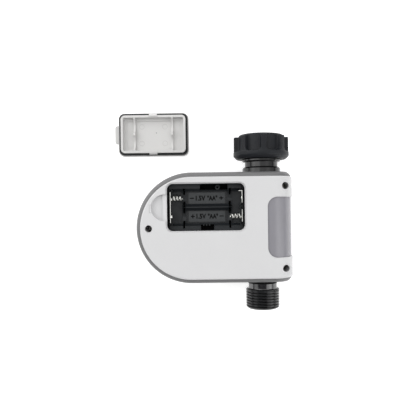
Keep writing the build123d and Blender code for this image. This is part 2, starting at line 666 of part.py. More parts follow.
def make_battery_cover():
    """Cover as it lies when closed: plate, finger tab, skirt, cross ribs and snap hooks."""
    with BuildPart() as cover:
        extrude(bay_outline(PLATE_Z, PLATE_GROW, BAY_R + PLATE_GROW), amount=PLATE_T)
        plate_left = BAY_X - BAY_SIZE[0] / 2 - PLATE_GROW
        with BuildSketch(Plane.XY.offset(PLATE_Z)):
            with Locations(((TAB_END_X + plate_left) / 2 + 2, BAY_Y)):
                RectangleRounded(plate_left - TAB_END_X + 4, TAB_WIDTH, 1.8)
        extrude(amount=PLATE_T)
        fillet(cover.faces().sort_by(Axis.Z)[-1].edges(), 0.4)
        add(bay_ring(SKIRT_END_Z, PLATE_Z, -SKIRT_GAP, BAY_R - 1, SKIRT_INNER, 1.0))
        add(bay_ring(PLATE_Z - 0.6, PLATE_Z, SKIRT_INNER, 1.0, SKIRT_INNER - 2.5, 0.6))
        for side in (1, -1):
            with Locations((BAY_X + side * COVER_RIB_X, BAY_Y, SKIRT_END_Z + 0.3)):
                Box(1.8, BAY_SIZE[1] + 2 * SKIRT_INNER, PLATE_Z - SKIRT_END_Z - 0.3, align=UPWARD)
        # hollows that keep the cross ribs clear of the cells
        for cell_y in CELL_YS:
            with BuildSketch(Plane.YZ.offset(BAY_X - COVER_RIB_X - 1)):
                with Locations((cell_y, CELL_Z)):
                    Circle(CELL_D / 2 + 0.3)
            extrude(amount=2 * COVER_RIB_X + 2, mode=Mode.SUBTRACT)
        # snap hooks: a tongue on the skirt's outer face, with its nose at the end
        hook_y = BAY_SIZE[1] / 2 - SKIRT_GAP
        for side in (1, -1):
            with BuildSketch(Plane.YZ.offset(BAY_X - 3.4)):
                with BuildLine():
                    Polyline(
                        (BAY_Y + side * (hook_y - 0.6), PLATE_Z - 3.2),
                        (BAY_Y + side * (hook_y + 1.3), PLATE_Z - 3.2),
                        (BAY_Y + side * (hook_y + 1.3), PLATE_Z - 4.2),
                        (BAY_Y + side * (hook_y + 0.2), SKIRT_END_Z - 0.8),
                        (BAY_Y + side * (hook_y - 1.2), SKIRT_END_Z - 0.8),
                        (BAY_Y + side * (hook_y - 1.2), PLATE_Z - 3.2),
                        close=True,
                    )
                make_face()
            extrude(amount=6.8)
    return cover


COVER_OFF = Pos(COVER_X, COVER_Y, 0) * Rot(180, 0, 0) * Pos(-BAY_X, -BAY_Y, -CASE_DEPTH)

battery_cover = make_battery_cover()
battery_cover.part = battery_cover.part.moved(COVER_OFF)
battery_cover.part.label = "battery_cover"
export_step(battery_cover.part, "parts/battery_cover.step")

with BuildPart() as cover_gasket:
    add(bay_ring(FRAME_Z, PLATE_Z, -0.2, BAY_R - 0.2, -SKIRT_GAP, BAY_R - 1))
cover_gasket.part = cover_gasket.part.moved(COVER_OFF)
cover_gasket.part.label = "cover_gasket"
export_step(cover_gasket.part, "parts/cover_gasket.step")

# ---------------------------------------------------------------- inlet and outlet
# Inlet fitting: spigot with an O-ring groove, collars, and the flange that holds the nut
with BuildPart() as inlet_fitting:
    wall_y = FRONT_R + FIT
    revolve(
        flow_profile(
            [
                (BORE_R, SOCKET_Y), (8.5, SOCKET_Y), (8.5, 27.0), (7.3, 27.0), (7.3, 29.2), (8.5, 29.2),
                (8.5, BODY_HALF + FIT), (9.5, BODY_HALF + FIT), (9.5, wall_y), (15.35, wall_y), (15.35, 46.9),
                (14.5, 48.0), (INLET_NECK_R, 48.2), (INLET_NECK_R, 51.9), (15.0, 52.4), (15.5, 53.0), (15.5, 54.0),
                (15.2, 54.2), (NUT_HOLE_R - 0.05, 54.2), (NUT_HOLE_R - 0.05, 57.8), (12.7, 57.8), (12.7, 59.2),
                (12.2, 60.0), (BORE_R, 60.0),
            ]
        ),
        axis=FLOW_AXIS,
    )
inlet_fitting.part.label = "inlet_fitting"
export_step(inlet_fitting.part, "parts/inlet_fitting.step")


def make_inlet_nut():
    """Swivel nut: ribbed grip on a plain ring, female thread, and a hole that turns on the fitting."""
    with BuildPart() as nut:
        revolve(
            flow_profile(
                [
                    (NUT_HOLE_R, NUT_BOTTOM), (19.6, NUT_BOTTOM), (20.4, 54.9), (NUT_RING_R, 57.2),
                    (NUT_RING_R, 59.8), (NUT_RIB_R, 60.1), (NUT_RIB_R, NUT_RIB_TOP - 0.6),
                    (NUT_RIB_R - 0.6, NUT_RIB_TOP), (14.0, NUT_RIB_TOP), (14.0, 60.0), (NUT_HOLE_R, 57.5),
                ]
            ),
            axis=FLOW_AXIS,
        )
        # pockets between the ribs, with rounded lower corners
        for index in range(NUT_RIBS):
            radial = Plane(Pos(0, 0, FLOW_Z) * Rot(0, 360 / NUT_RIBS * (index + 0.5), 0))
            with BuildSketch(radial.offset(15)):
                with Locations((0, NUT_RING_TOP + 10)):
                    RectangleRounded(11.3, 20, 2.6)
            extrude(amount=12, mode=Mode.SUBTRACT)
        # drum with a rounded top edge, room for the fitting's flange, and the female thread
        revolve(
            flow_profile(
                [
                    (NUT_BORE_R + 1.3, NUT_TOP), (17.1, NUT_TOP), (17.9, 73.8), (NUT_DRUM_R, 72.9),
                    (NUT_DRUM_R, 58.0), (NUT_BORE_R, 58.0),
                    *thread_points(NUT_THREAD_START, NUT_TURNS, NUT_BORE_R, NUT_BORE_R + THREAD_DEPTH),
                    (NUT_BORE_R, NUT_TOP - 1.1),
                ]
            ),
            axis=FLOW_AXIS,
        )
        revolve(
            flow_profile([(10.0, 57.5), (13.7, 57.5), (13.7, NUT_THREAD_START), (10.0, NUT_THREAD_START)]),
            axis=FLOW_AXIS,
            mode=Mode.SUBTRACT,
        )
    return nut


inlet_nut = make_inlet_nut()
inlet_nut.part.label = "inlet_nut"
export_step(inlet_nut.part, "parts/inlet_nut.step")

inlet_oring = o_ring(7.95, 0.63, 28.1)
inlet_oring.part.label = "inlet_oring"
export_step(inlet_oring.part, "parts/inlet_oring.step")

# Hose washer on the fitting's flange, and the dirt screen in it
with BuildPart() as hose_washer:
    revolve(flow_profile([(8.6, 60.1), (11.8, 60.1), (11.8, 62.9), (8.6, 62.9)]), axis=FLOW_AXIS)
hose_washer.part.label = "hose_washer"
export_step(hose_washer.part, "parts/hose_washer.step")

SCREEN_R = 8.5
SCREEN_STEP = 1.5
with BuildPart() as inlet_screen:
    with BuildSketch(flow_plane(60.8)):
        Circle(SCREEN_R)
        Circle(SCREEN_R - 1.2, mode=Mode.SUBTRACT)
        for index in range(-4, 5):
            bar_length = 2 * (SCREEN_R - 0.6) * (1 - (index / 5.6) ** 2) ** 0.5
            with Locations((index * SCREEN_STEP, 0)):
                Rectangle(0.5, bar_length)
            with Locations((0, index * SCREEN_STEP)):
                Rectangle(bar_length, 0.5)
    extrude(amount=0.7)
inlet_screen.part.label = "inlet_screen"
export_step(inlet_screen.part, "parts/inlet_screen.step")

# Outlet fitting: spigot, neck and male hose thread
with BuildPart() as outlet_fitting:
    revolve(
        flow_profile(
            [
                (BORE_R, -SOCKET_Y), (8.5, -SOCKET_Y), (8.5, -27.0), (7.3, -27.0), (7.3, -29.2), (8.5, -29.2),
                (8.5, -BODY_HALF - FIT), (11.15, -BODY_HALF - FIT), (11.15, OUTLET_NECK + 0.6),
                (THREAD_R - 0.9, OUTLET_NECK), (THREAD_R, OUTLET_NECK - 0.7),
                *reversed(thread_points(OUTLET_END + 1.4, OUTLET_TURNS, THREAD_R, THREAD_R - THREAD_DEPTH)),
                (THREAD_R, OUTLET_END + 1.4), (12.0, OUTLET_END + 0.3), (11.4, OUTLET_END), (9.4, OUTLET_END),
                (8.9, OUTLET_END + 0.5), (8.9, -48.0), (BORE_R, -44.0),
            ]
        ),
        axis=FLOW_AXIS,
    )
outlet_fitting.part.label = "outlet_fitting"
export_step(outlet_fitting.part, "parts/outlet_fitting.step")

outlet_oring = o_ring(7.95, 0.63, -28.1)
outlet_oring.part.label = "outlet_oring"
export_step(outlet_oring.part, "parts/outlet_oring.step")


# ---------------------------------------------------------------- diaphragm valve
def make_valve_body():
    """Through tube with a side boss: water enters a ring chamber and leaves through the seat."""
    with BuildPart() as body:
        with BuildSketch(flow_plane(-BODY_HALF)):
            Circle(10.8)
        extrude(amount=2 * BODY_HALF)
        with BuildSketch(valve_plane(0)):
            Circle(15.5)
        extrude(amount=-SEAT_X)
        with BuildSketch(valve_plane(SEAT_X + 3)):
            Circle(FLANGE_R)
        extrude(amount=3)
        # sockets, inlet bore and outlet bore
        for end_y, reach in ((BODY_HALF + 1, SOCKET_Y), (-BODY_HALF - 1, -SOCKET_Y)):
            with BuildSketch(flow_plane(reach)):
                Circle(SOCKET_R)
            extrude(amount=end_y - reach, mode=Mode.SUBTRACT)
        with BuildSketch(flow_plane(-14.5)):
            Circle(BORE_R)
        extrude(amount=SOCKET_Y + 15, mode=Mode.SUBTRACT)
        with BuildSketch(flow_plane(-17.0)):
            Circle(BORE_R)
        extrude(amount=-(SOCKET_Y - 16), mode=Mode.SUBTRACT)
        # ring chamber, its port from the inlet bore, and the seat's bore into the outlet bore
        with BuildSketch(valve_plane(-9.5)):
            Circle(10.5)
            Circle(5.6, mode=Mode.SUBTRACT)
        extrude(amount=6, mode=Mode.SUBTRACT)
        with BuildSketch(valve_plane(-3)):
            with Locations((8.05, 0)):
                Circle(2.0)
        extrude(amount=12, mode=Mode.SUBTRACT)
        with BuildSketch(valve_plane(-2)):
            Circle(4.2)
        extrude(amount=14, mode=Mode.SUBTRACT)
        # pilot holes of the bonnet screws
        with BuildSketch(valve_plane(SEAT_X + 8)):
            with PolarLocations(BONNET_SCREW_R, 4, start_angle=45):
                Circle(1.0)
        extrude(amount=10, mode=Mode.SUBTRACT)
    return body


valve_body = make_valve_body()
valve_body.part.label = "valve_body"
export_step(valve_body.part, "parts/valve_body.step")

# Rubber diaphragm, clamped at its rim, and the rigid disc in its middle that closes the seat
CLAMP_X = SEAT_X - CLAMP_T
with BuildPart() as diaphragm:
    revolve(
        valve_profile(
            [
                (SEAT_X, 12.2), (CLAMP_X, 12.2), (CLAMP_X, 10.0), (SEAT_X - 1.9, 8.6), (SEAT_X - 1.9, 6.3),
                (SEAT_X - 1.1, 6.3), (SEAT_X - 1.1, 8.2), (SEAT_X - 0.2, 9.8), (SEAT_X, 10.6),
            ]
        ),
        axis=VALVE_AXIS,
    )
diaphragm.part.label = "diaphragm"
export_step(diaphragm.part, "parts/diaphragm.step")

DISC_BACK_X = SEAT_X - 2.6
with BuildPart() as valve_disc:
    revolve(
        valve_profile([(SEAT_X - 0.05, 0.6), (SEAT_X - 0.05, 6.0), (DISC_BACK_X, 6.0), (DISC_BACK_X, 0.6)]),
        axis=VALVE_AXIS,
    )
    fillet(valve_disc.edges().filter_by(GeomType.CIRCLE).sort_by(SortBy.RADIUS)[-2:], 0.4)
valve_disc.part.label = "valve_disc"
export_step(valve_disc.part, "parts/valve_disc.step")

with BuildPart() as valve_bonnet:
    revolve(
        valve_profile(
            [
                (CLAMP_X, 10.0), (CLAMP_X, FLANGE_R), (CLAMP_X - 3, FLANGE_R), (BONNET_X, 12.5),
                (BONNET_X, CORE_R + CORE_WALL), (BONNET_X + 1.5, CORE_R + CORE_WALL), (BONNET_X + 1.5, 10.0),
            ]
        ),
        axis=VALVE_AXIS,
    )
    with BuildSketch(valve_plane(CLAMP_X + 1)):
        with PolarLocations(BONNET_SCREW_R, 4, start_angle=45):
            Circle(1.3)
    extrude(amount=8, mode=Mode.SUBTRACT)
    with BuildSketch(valve_plane(CLAMP_X - 3)):
        with PolarLocations(BONNET_SCREW_R, 4, start_angle=45):
            Circle(2.4)
    extrude(amount=8, mode=Mode.SUBTRACT)
valve_bonnet.part.label = "valve_bonnet"
export_step(valve_bonnet.part, "parts/valve_bonnet.step")

with BuildPart() as bonnet_screws:
    with BuildSketch(valve_plane(CLAMP_X - 3)):
        with PolarLocations(BONNET_SCREW_R, 4, start_angle=45):
            Circle(2.1)
    extrude(amount=1.6)
    with BuildSketch(valve_plane(CLAMP_X - 3)):
        with PolarLocations(BONNET_SCREW_R, 4, start_angle=45):
            Circle(0.95)
    extrude(amount=-9)
bonnet_screws.part.label = "bonnet_screws"
export_step(bonnet_screws.part, "parts/bonnet_screws.step")

# ---------------------------------------------------------------- latching solenoid
TUBE_END_X = -46.0
POLE_X = -38.0
PLUNGER_TIP_X = DISC_BACK_X - 0.15
PLUNGER_END_X = POLE_X + 2.8
COIL_FRONT_X = -22.2
COIL_END_X = -44.2

with BuildPart() as core_tube:
    revolve(
        valve_profile(
            [
                (BONNET_X + 1.5, CORE_R), (BONNET_X + 1.5, CORE_R + CORE_WALL - 0.02),
                (TUBE_END_X, CORE_R + CORE_WALL - 0.02), (TUBE_END_X, CORE_R),
            ]
        ),
        axis=VALVE_AXIS,
    )
core_tube.part.label = "core_tube"
export_step(core_tube.part, "parts/core_tube.step")

with BuildPart() as plunger:
    revolve(
        valve_profile(
            [
                (PLUNGER_TIP_X, 0), (PLUNGER_TIP_X, 1.6), (PLUNGER_TIP_X - 2.4, 2.4),
                (PLUNGER_TIP_X - 2.4, CORE_R - 0.05),
                (PLUNGER_END_X, CORE_R - 0.05), (PLUNGER_END_X, 2.9), (PLUNGER_END_X + 7, 2.9),
                (PLUNGER_END_X + 7, 0),
            ]
        ),
        axis=VALVE_AXIS,
    )
plunger.part.label = "plunger"
export_step(plunger.part, "parts/plunger.step")

plunger_spring = coil_spring(
    (PLUNGER_END_X + 6.6, VALVE_Y, FLOW_Z), (-1, 0, 0), 1.2, PLUNGER_END_X + 6.2 - POLE_X, 2.3, 0.25
)
plunger_spring.part.label = "plunger_spring"
export_step(plunger_spring.part, "parts/plunger_spring.step")

with BuildPart() as pole_piece:
    revolve(
        valve_profile([(POLE_X, 0), (POLE_X, CORE_R - 0.02), (TUBE_END_X, CORE_R - 0.02), (TUBE_END_X, 0)]),
        axis=VALVE_AXIS,
    )
pole_piece.part.label = "pole_piece"
export_step(pole_piece.part, "parts/pole_piece.step")

with BuildPart() as latch_magnet:
    revolve(
        valve_profile([(TUBE_END_X - FIT, 0), (TUBE_END_X - FIT, 4.5), (TUBE_END_X - 3, 4.5), (TUBE_END_X - 3, 0)]),
        axis=VALVE_AXIS,
    )
latch_magnet.part.label = "latch_magnet"
export_step(latch_magnet.part, "parts/latch_magnet.step")

with BuildPart() as coil_bobbin:
    revolve(
        valve_profile(
            [
                (COIL_FRONT_X, 4.8), (COIL_FRONT_X, 10.0), (COIL_FRONT_X - 1.2, 10.0), (COIL_FRONT_X - 1.2, 5.5),
                (COIL_END_X + 1.2, 5.5), (COIL_END_X + 1.2, 10.0), (COIL_END_X, 10.0), (COIL_END_X, 4.8),
            ]
        ),
        axis=VALVE_AXIS,
    )
coil_bobbin.part.label = "coil_bobbin"
export_step(coil_bobbin.part, "parts/coil_bobbin.step")

with BuildPart() as coil_winding:
    revolve(
        valve_profile(
            [
                (COIL_FRONT_X - 1.25, 5.55), (COIL_FRONT_X - 1.25, 9.4),
                (COIL_END_X + 1.25, 9.4), (COIL_END_X + 1.25, 5.55),
            ]
        ),
        axis=VALVE_AXIS,
    )
coil_winding.part.label = "coil_winding"
export_step(coil_winding.part, "parts/coil_winding.step")

# Steel frame that closes the magnetic circuit around the coil
with BuildPart() as solenoid_yoke:
    frame_middle_x = (COIL_FRONT_X + COIL_END_X) / 2
    frame_length = COIL_FRONT_X - COIL_END_X + 0.4
    with Locations((frame_middle_x, VALVE_Y, FLOW_Z)):
        Box(frame_length + 2.8, 15.0, 23.6)
        Box(frame_length, 16.0, 20.8, mode=Mode.SUBTRACT)
    with BuildSketch(valve_plane(COIL_FRONT_X + 3)):
        Circle(4.8)
    extrude(amount=30, mode=Mode.SUBTRACT)
solenoid_yoke.part.label = "solenoid_yoke"
export_step(solenoid_yoke.part, "parts/solenoid_yoke.step")

# Leads from the coil down to their connector
with BuildPart() as solenoid_leads:
    for lead_x in (SOLENOID_PLUG[0] - 1.3, SOLENOID_PLUG[0] + 1.3):
        start_y = VALVE_Y + 9.6
        bend_y = SOLENOID_PLUG[1]
        add(
            lead(
                [(lead_x, start_y, FLOW_Z), (lead_x, bend_y, FLOW_Z), (lead_x, bend_y, CONNECTOR_TOP)],
                3.0,
                0.55,
            )
        )
solenoid_leads.part.label = "solenoid_leads"
export_step(solenoid_leads.part, "parts/solenoid_leads.step")
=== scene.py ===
"""Looks of the irrigation controller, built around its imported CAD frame.

Everything is in metres in the CAD's own frame: the case lies on its front face at z 0,
+Y points towards the tap and +X towards the straight side beside the water way.
"""
import math

import bpy
import numpy as np
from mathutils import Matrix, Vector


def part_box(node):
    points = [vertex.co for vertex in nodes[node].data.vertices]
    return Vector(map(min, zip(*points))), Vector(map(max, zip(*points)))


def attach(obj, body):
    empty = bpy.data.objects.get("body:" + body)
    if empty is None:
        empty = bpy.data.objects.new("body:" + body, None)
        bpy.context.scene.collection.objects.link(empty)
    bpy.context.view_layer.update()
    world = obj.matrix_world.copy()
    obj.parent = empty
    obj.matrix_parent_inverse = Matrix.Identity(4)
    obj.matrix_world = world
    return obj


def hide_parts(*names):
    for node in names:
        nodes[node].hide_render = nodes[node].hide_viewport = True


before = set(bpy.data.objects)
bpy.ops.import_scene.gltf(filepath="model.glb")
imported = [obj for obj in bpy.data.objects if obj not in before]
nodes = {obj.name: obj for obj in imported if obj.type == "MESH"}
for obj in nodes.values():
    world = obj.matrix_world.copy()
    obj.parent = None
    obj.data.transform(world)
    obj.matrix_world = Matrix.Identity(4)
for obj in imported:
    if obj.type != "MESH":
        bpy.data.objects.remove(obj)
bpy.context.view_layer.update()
MM = 0.001
FLOW_Z = 31.0                            # height of the water way's axis, in millimetres


# ---------------------------------------------------------------- camera, lights and floor
CAMERA_SPOT = (-0.0439, 0.0154, 0.438)   # 380 mm above the case's rear face
CAMERA_TURN = -0.75                      # degrees, about the line of sight
FOCAL_LENGTH = 43.0
SENSOR_WIDTH = 36.0


def make_camera():
    """Camera straight above the case, turned a little against the object's axes."""
    data = bpy.data.cameras.new("camera")
    data.lens = FOCAL_LENGTH
    data.sensor_width = SENSOR_WIDTH
    data.clip_start = 0.02
    data.clip_end = 20.0
    camera = bpy.data.objects.new("camera", data)
    camera.location = CAMERA_SPOT
    camera.rotation_euler = (0.0, 0.0, math.radians(CAMERA_TURN))
    bpy.context.scene.collection.objects.link(camera)
    bpy.context.scene.camera = camera


# Panels of the studio, placed by the horizontal part of their direction from the object:
# middle x and y, half width and half length, and the light they add to the surround or take from it
PANELS = (
    (-0.87, 0.30, 0.10, 0.28, 1.6),
    (-0.53, 0.42, 0.28, 0.42, 1.3),
    (0.64, -0.05, 0.16, 0.06, 2.6),
    (0.87, -0.34, 0.10, 0.22, 1.9),
    (0.58, -0.62, 0.24, 0.18, 1.6),
    (0.85, 0.34, 0.16, 0.26, -0.65),
)
PANEL_EDGE = 0.10                        # half the width over which a panel fades
SURROUND = (0.72, 1.15)                  # light towards -Y and towards +Y
SURROUND_FADE = (-0.55, 0.15)            # range of Y over which the one turns into the other
GAP = (-0.13, -0.21, 0.56, 0.13)         # unlit gap around the camera, placed like a panel
GAP_LIGHT = 0.02                         # share of the surround that is left in the gap
HORIZON_FADE = (0.10, 0.36)              # range of height over which the horizon brightens
HORIZON_LIGHT = 0.28                     # share of the light that is left at the horizon


def make_world():
    """White studio surround with brighter panels, an unlit gap overhead and a dim horizon."""
    world = bpy.data.worlds.new("studio")
    world.use_nodes = True
    bpy.context.scene.world = world
    tree = world.node_tree
    split = tree.nodes.new("ShaderNodeSeparateXYZ")
    tree.links.new(tree.nodes.new("ShaderNodeTexCoord").outputs["Generated"], split.inputs[0])

    def soft(value, low, high, to_low, to_high):
        """Smooth change from one level to another."""
        ramp = tree.nodes.new("ShaderNodeMapRange")
        ramp.interpolation_type = "SMOOTHSTEP"
        tree.links.new(value, ramp.inputs["Value"])
        ends = {"From Min": low, "From Max": high, "To Min": to_low, "To Max": to_high}
        for key, number in ends.items():
            ramp.inputs[key].default_value = number
        return ramp.outputs[0]

    def combine(operation, first, second):
        """Adds or multiplies two values."""
        node = tree.nodes.new("ShaderNodeMath")
        node.operation = operation
        tree.links.new(first, node.inputs[0])
        tree.links.new(second, node.inputs[1])
        return node.outputs[0]

    def patch(middle_x, middle_y, half_x, half_y, level):
        """Soft-edged rectangle of directions."""
        bands = []
        for axis, middle, half, top in (("X", middle_x, half_x, level), ("Y", middle_y, half_y, 1.0)):
            value = split.outputs[axis]
            low = middle - half
            high = middle + half
            rise = soft(value, low - PANEL_EDGE, low + PANEL_EDGE, 0.0, top)
            fall = soft(value, high - PANEL_EDGE, high + PANEL_EDGE, 1.0, 0.0)
            bands.append(combine("MULTIPLY", rise, fall))
        return combine("MULTIPLY", *bands)

    surround = soft(split.outputs["Y"], *SURROUND_FADE, *SURROUND)
    gap = soft(patch(*GAP, 1.0), 0.0, 1.0, 1.0, GAP_LIGHT)
    level = combine("MULTIPLY", surround, gap)
    for panel in PANELS:
        level = combine("ADD", level, patch(*panel))
    horizon = soft(split.outputs["Z"], *HORIZON_FADE, HORIZON_LIGHT, 1.0)
    level = combine("MULTIPLY", level, horizon)
    background = tree.nodes["Background"]
    background.inputs["Color"].default_value = (1.0, 1.0, 1.0, 1.0)
    tree.links.new(level, background.inputs["Strength"])


def make_backdrop(material):
    """White cyclorama far behind everything, seen by the camera but lighting nothing."""
    bpy.ops.mesh.primitive_uv_sphere_add(segments=48, ring_count=24, radius=9.0)
    dome = bpy.context.object
    dome.name = "backdrop"
    dome.data.materials.append(material)
    for ray in ("diffuse", "glossy", "transmission", "volume_scatter", "shadow"):
        setattr(dome, f"visible_{ray}", False)


def make_floor(material):
    """Wide plain floor that the object lies on."""
    mesh = bpy.data.meshes.new("floor")
    half = 3.0
    corners = [(-half, -half, 0.0), (half, -half, 0.0), (half, half, 0.0), (-half, half, 0.0)]
    mesh.from_pydata(corners, [], [(0, 1, 2, 3)])
    mesh.materials.append(material)
    floor = bpy.data.objects.new("floor", mesh)
    bpy.context.scene.collection.objects.link(floor)


# ---------------------------------------------------------------- finishes
# Cosine of the angle between a face and its softened shading, off an edge and on it
FACE_COSINE = 0.995
EDGE_COSINE = 0.88
# Sockets of a Mix node that mixes colours
MIX_FIRST = 6
MIX_SECOND = 7
MIX_RESULT = 2


class Finish:
    """Node material around one Principled shader, textured in metres of the object's frame."""

    def __init__(self, name, colour, roughness, **sockets):
        self.material = bpy.data.materials.new(name)
        self.material.use_nodes = True
        self.tree = self.material.node_tree
        self.shader = self.tree.nodes["Principled BSDF"]
        self.colour = colour
        self.roughness = roughness
        self.shader.inputs["Base Color"].default_value = (*colour, 1.0)
        self.shader.inputs["Roughness"].default_value = roughness
        for socket, value in sockets.items():
            self.shader.inputs[socket.replace("_", " ")].default_value = value
        self.place = self.node("ShaderNodeTexCoord").outputs["Object"]
        self.normal = None

    def node(self, kind, **inputs):
        """Adds a node; an input that is given another node's output is linked to it."""
        made = self.tree.nodes.new(kind)
        for key, value in inputs.items():
            socket = made.inputs[key.replace("_", " ")]
            if isinstance(value, bpy.types.NodeSocket):
                self.tree.links.new(value, socket)
            else:
                socket.default_value = value
        return made

    def stretched(self, scale):
        """The object's coordinates, scaled differently along each axis."""
        return self.node("ShaderNodeMapping", Vector=self.place, Scale=scale).outputs[0]

    def noise(self, size, detail=3.0, place=None):
        """Noise whose patches are about that many millimetres across."""
        scale = 1.0 / (size * MM)
        made = self.node("ShaderNodeTexNoise", Vector=place or self.place, Scale=scale, Detail=detail)
        return made.outputs["Fac"]

    def remap(self, value, low, high, to_low=0.0, to_high=1.0):
        """The value, mapped from one range to another and held inside it."""
        ends = {"From_Min": low, "From_Max": high, "To_Min": to_low, "To_Max": to_high}
        return self.node("ShaderNodeMapRange", Value=value, **ends).outputs[0]

    def tint(self, factor, colour):
        """Mixes a colour into the base colour by a factor."""
        mix = self.tree.nodes.new("ShaderNodeMix")
        mix.data_type = "RGBA"
        self.tree.links.new(factor, mix.inputs[0])
        base = self.shader.inputs["Base Color"]
        if base.is_linked:
            self.tree.links.new(base.links[0].from_socket, mix.inputs[MIX_FIRST])
        else:
            mix.inputs[MIX_FIRST].default_value = (*self.colour, 1.0)
        mix.inputs[MIX_SECOND].default_value = (*colour, 1.0)
        self.tree.links.new(mix.outputs[MIX_RESULT], base)

    def vary_roughness(self, value, spread):
        """Roughness that follows a noise, up and down by the spread."""
        rough = self.remap(value, 0.3, 0.7, self.roughness - spread, self.roughness + spread)
        self.tree.links.new(rough, self.shader.inputs["Roughness"])

    def soften_edges(self, radius):
        """Rounds the shading of edges, as a mould does, and returns a mask that is 1 on them."""
        bevel = self.node("ShaderNodeBevel", Radius=radius * MM)
        bevel.samples = 6
        self.normal = bevel.outputs[0]
        self.tree.links.new(self.normal, self.shader.inputs["Normal"])
        flat = self.tree.nodes.new("ShaderNodeNewGeometry")
        dot = self.tree.nodes.new("ShaderNodeVectorMath")
        dot.operation = "DOT_PRODUCT"
        self.tree.links.new(self.normal, dot.inputs[0])
        self.tree.links.new(flat.outputs["Normal"], dot.inputs[1])
        return self.remap(dot.outputs["Value"], FACE_COSINE, EDGE_COSINE)

    def bump(self, height, depth, strength=1.0):
        """Adds relief of that many millimetres from a height between 0 and 1."""
        relief = self.node("ShaderNodeBump", Height=height, Distance=depth * MM, Strength=strength)
        if self.normal is not None:
            self.tree.links.new(self.normal, relief.inputs["Normal"])
        self.normal = relief.outputs[0]
        self.tree.links.new(self.normal, self.shader.inputs["Normal"])


def moulded(name, colour, roughness, grain=0.35, grain_depth=0.012, edge=0.25, worn=1.25, **sockets):
    """Injection-moulded plastic: sparked grain, flow clouding, handling scuffs and lighter worn edges."""
    finish = Finish(name, colour, roughness, **sockets)
    cloud = finish.noise(28.0, 2.0)
    finish.tint(finish.remap(cloud, 0.35, 0.7, 0.0, 0.5), tuple(min(1.0, c * 0.955) for c in colour))
    speck = finish.noise(0.5, 1.0)
    finish.tint(finish.remap(speck, 0.62, 0.80, 0.0, 0.35), tuple(c * 0.86 for c in colour))
    mask = finish.soften_edges(edge)
    patchy = finish.noise(1.6, 2.0)
    finish.tint(finish.remap(patchy, 0.40, 0.62, 0.0, 0.45), colour)
    wear = finish.tree.nodes.new("ShaderNodeMath")
    wear.operation = "MULTIPLY"
    finish.tree.links.new(mask, wear.inputs[0])
    finish.tree.links.new(finish.remap(patchy, 0.35, 0.65, 0.1, 0.7), wear.inputs[1])
    finish.tint(wear.outputs[0], tuple(min(1.0, c * worn + 0.002) for c in colour))
    finish.vary_roughness(finish.noise(3.5, 3.0), 0.06)
    finish.bump(finish.noise(grain, 2.0), grain_depth)
    scuffs = finish.noise(1.0, 2.0, finish.stretched((0.12, 2.2, 1.0)))
    finish.bump(finish.remap(scuffs, 0.66, 0.74), 0.006)
    return finish


def rubber(name, colour, roughness=0.62, specular=0.35):
    """Soft rubber: very fine pores, bloom in patches, and a faint sheen."""
    finish = Finish(
        name, colour, roughness, Sheen_Weight=0.08, Sheen_Roughness=0.5, Specular_IOR_Level=specular
    )
    bloom = finish.noise(9.0, 4.0)
    finish.tint(finish.remap(bloom, 0.40, 0.72, 0.0, 0.3), tuple(c * 1.08 + 0.002 for c in colour))
    dust = finish.noise(0.35, 1.0)
    finish.tint(finish.remap(dust, 0.62, 0.78, 0.0, 0.15), tuple(c * 1.2 + 0.004 for c in colour))
    finish.soften_edges(0.2)
    finish.vary_roughness(finish.noise(2.0, 3.0), 0.03)
    finish.bump(finish.noise(0.18, 2.0), 0.006)
    finish.bump(finish.noise(2.5, 2.0), 0.006, 0.4)
    return finish


def metal(name, colour, roughness, brushed=None, edge=0.08):
    """Plated or drawn metal: brushing along one axis, micro pits and tarnish in patches."""
    finish = Finish(name, colour, roughness, Metallic=1.0)
    tarnish = finish.noise(2.4, 4.0)
    finish.tint(finish.remap(tarnish, 0.46, 0.75, 0.0, 0.55), tuple(c * 0.66 for c in colour))
    pits = finish.noise(0.22, 2.0)
    finish.tint(finish.remap(pits, 0.66, 0.78, 0.0, 0.5), tuple(c * 0.45 for c in colour))
    finish.soften_edges(edge)
    finish.vary_roughness(finish.noise(0.9, 3.0), 0.08)
    place = finish.stretched(brushed) if brushed else None
    finish.bump(finish.noise(0.25, 2.0, place), 0.006)
    return finish


case_light = moulded("case_light", (0.600, 0.600, 0.605), 0.42, worn=1.06)
cover_light = moulded("cover_light", (0.635, 0.630, 0.620), 0.36, grain=0.6, grain_depth=0.008, worn=1.04)
case_grey = moulded("case_grey", (0.162, 0.162, 0.164), 0.40, worn=1.18)
soft_grip = rubber("soft_grip", (0.215, 0.211, 0.232), 0.24, specular=0.6)
bay_black = moulded(
    "bay_black", (0.0150, 0.0175, 0.0200), 0.40, grain=0.5, worn=1.9, Specular_IOR_Level=0.38
)
label_black = moulded("label_black", (0.040, 0.044, 0.047), 0.36, grain=0.5, edge=0.1, worn=1.2)
nut_black = moulded(
    "nut_black", (0.0082, 0.0094, 0.0122), 0.50,
    grain=0.3, grain_depth=0.02, worn=2.2, Specular_IOR_Level=0.26,
)
gloss_black = moulded(
    "gloss_black", (0.0045, 0.0045, 0.0050), 0.13, grain=0.8, grain_depth=0.004, edge=0.05, worn=1.2
)
mark_grey = moulded("mark_grey", (0.36, 0.36, 0.365), 0.42, grain=0.5, edge=0.1, worn=1.02)
cover_mark = moulded("cover_mark", (0.53, 0.525, 0.515), 0.36, grain=0.5, edge=0.1, worn=1.02)
mark_black = moulded("mark_black", (0.008, 0.009, 0.011), 0.30, grain=0.5, worn=1.5)
seal_black = rubber("seal_black", (0.016, 0.017, 0.018))
# Near-black matte: painted shade for the ring round the outlet and for the bay's slots and notches, and
# the colour of the letters and signs on the cell plates.
shade_and_letter_black = rubber("shade_and_letter_black", (0.002, 0.002, 0.002), 0.75, specular=0.08)
button_soft = rubber("button_soft", (0.22, 0.23, 0.24), 0.50)
nickel = metal("nickel", (0.74, 0.74, 0.71), 0.14, brushed=(0.3, 1.0, 1.0))
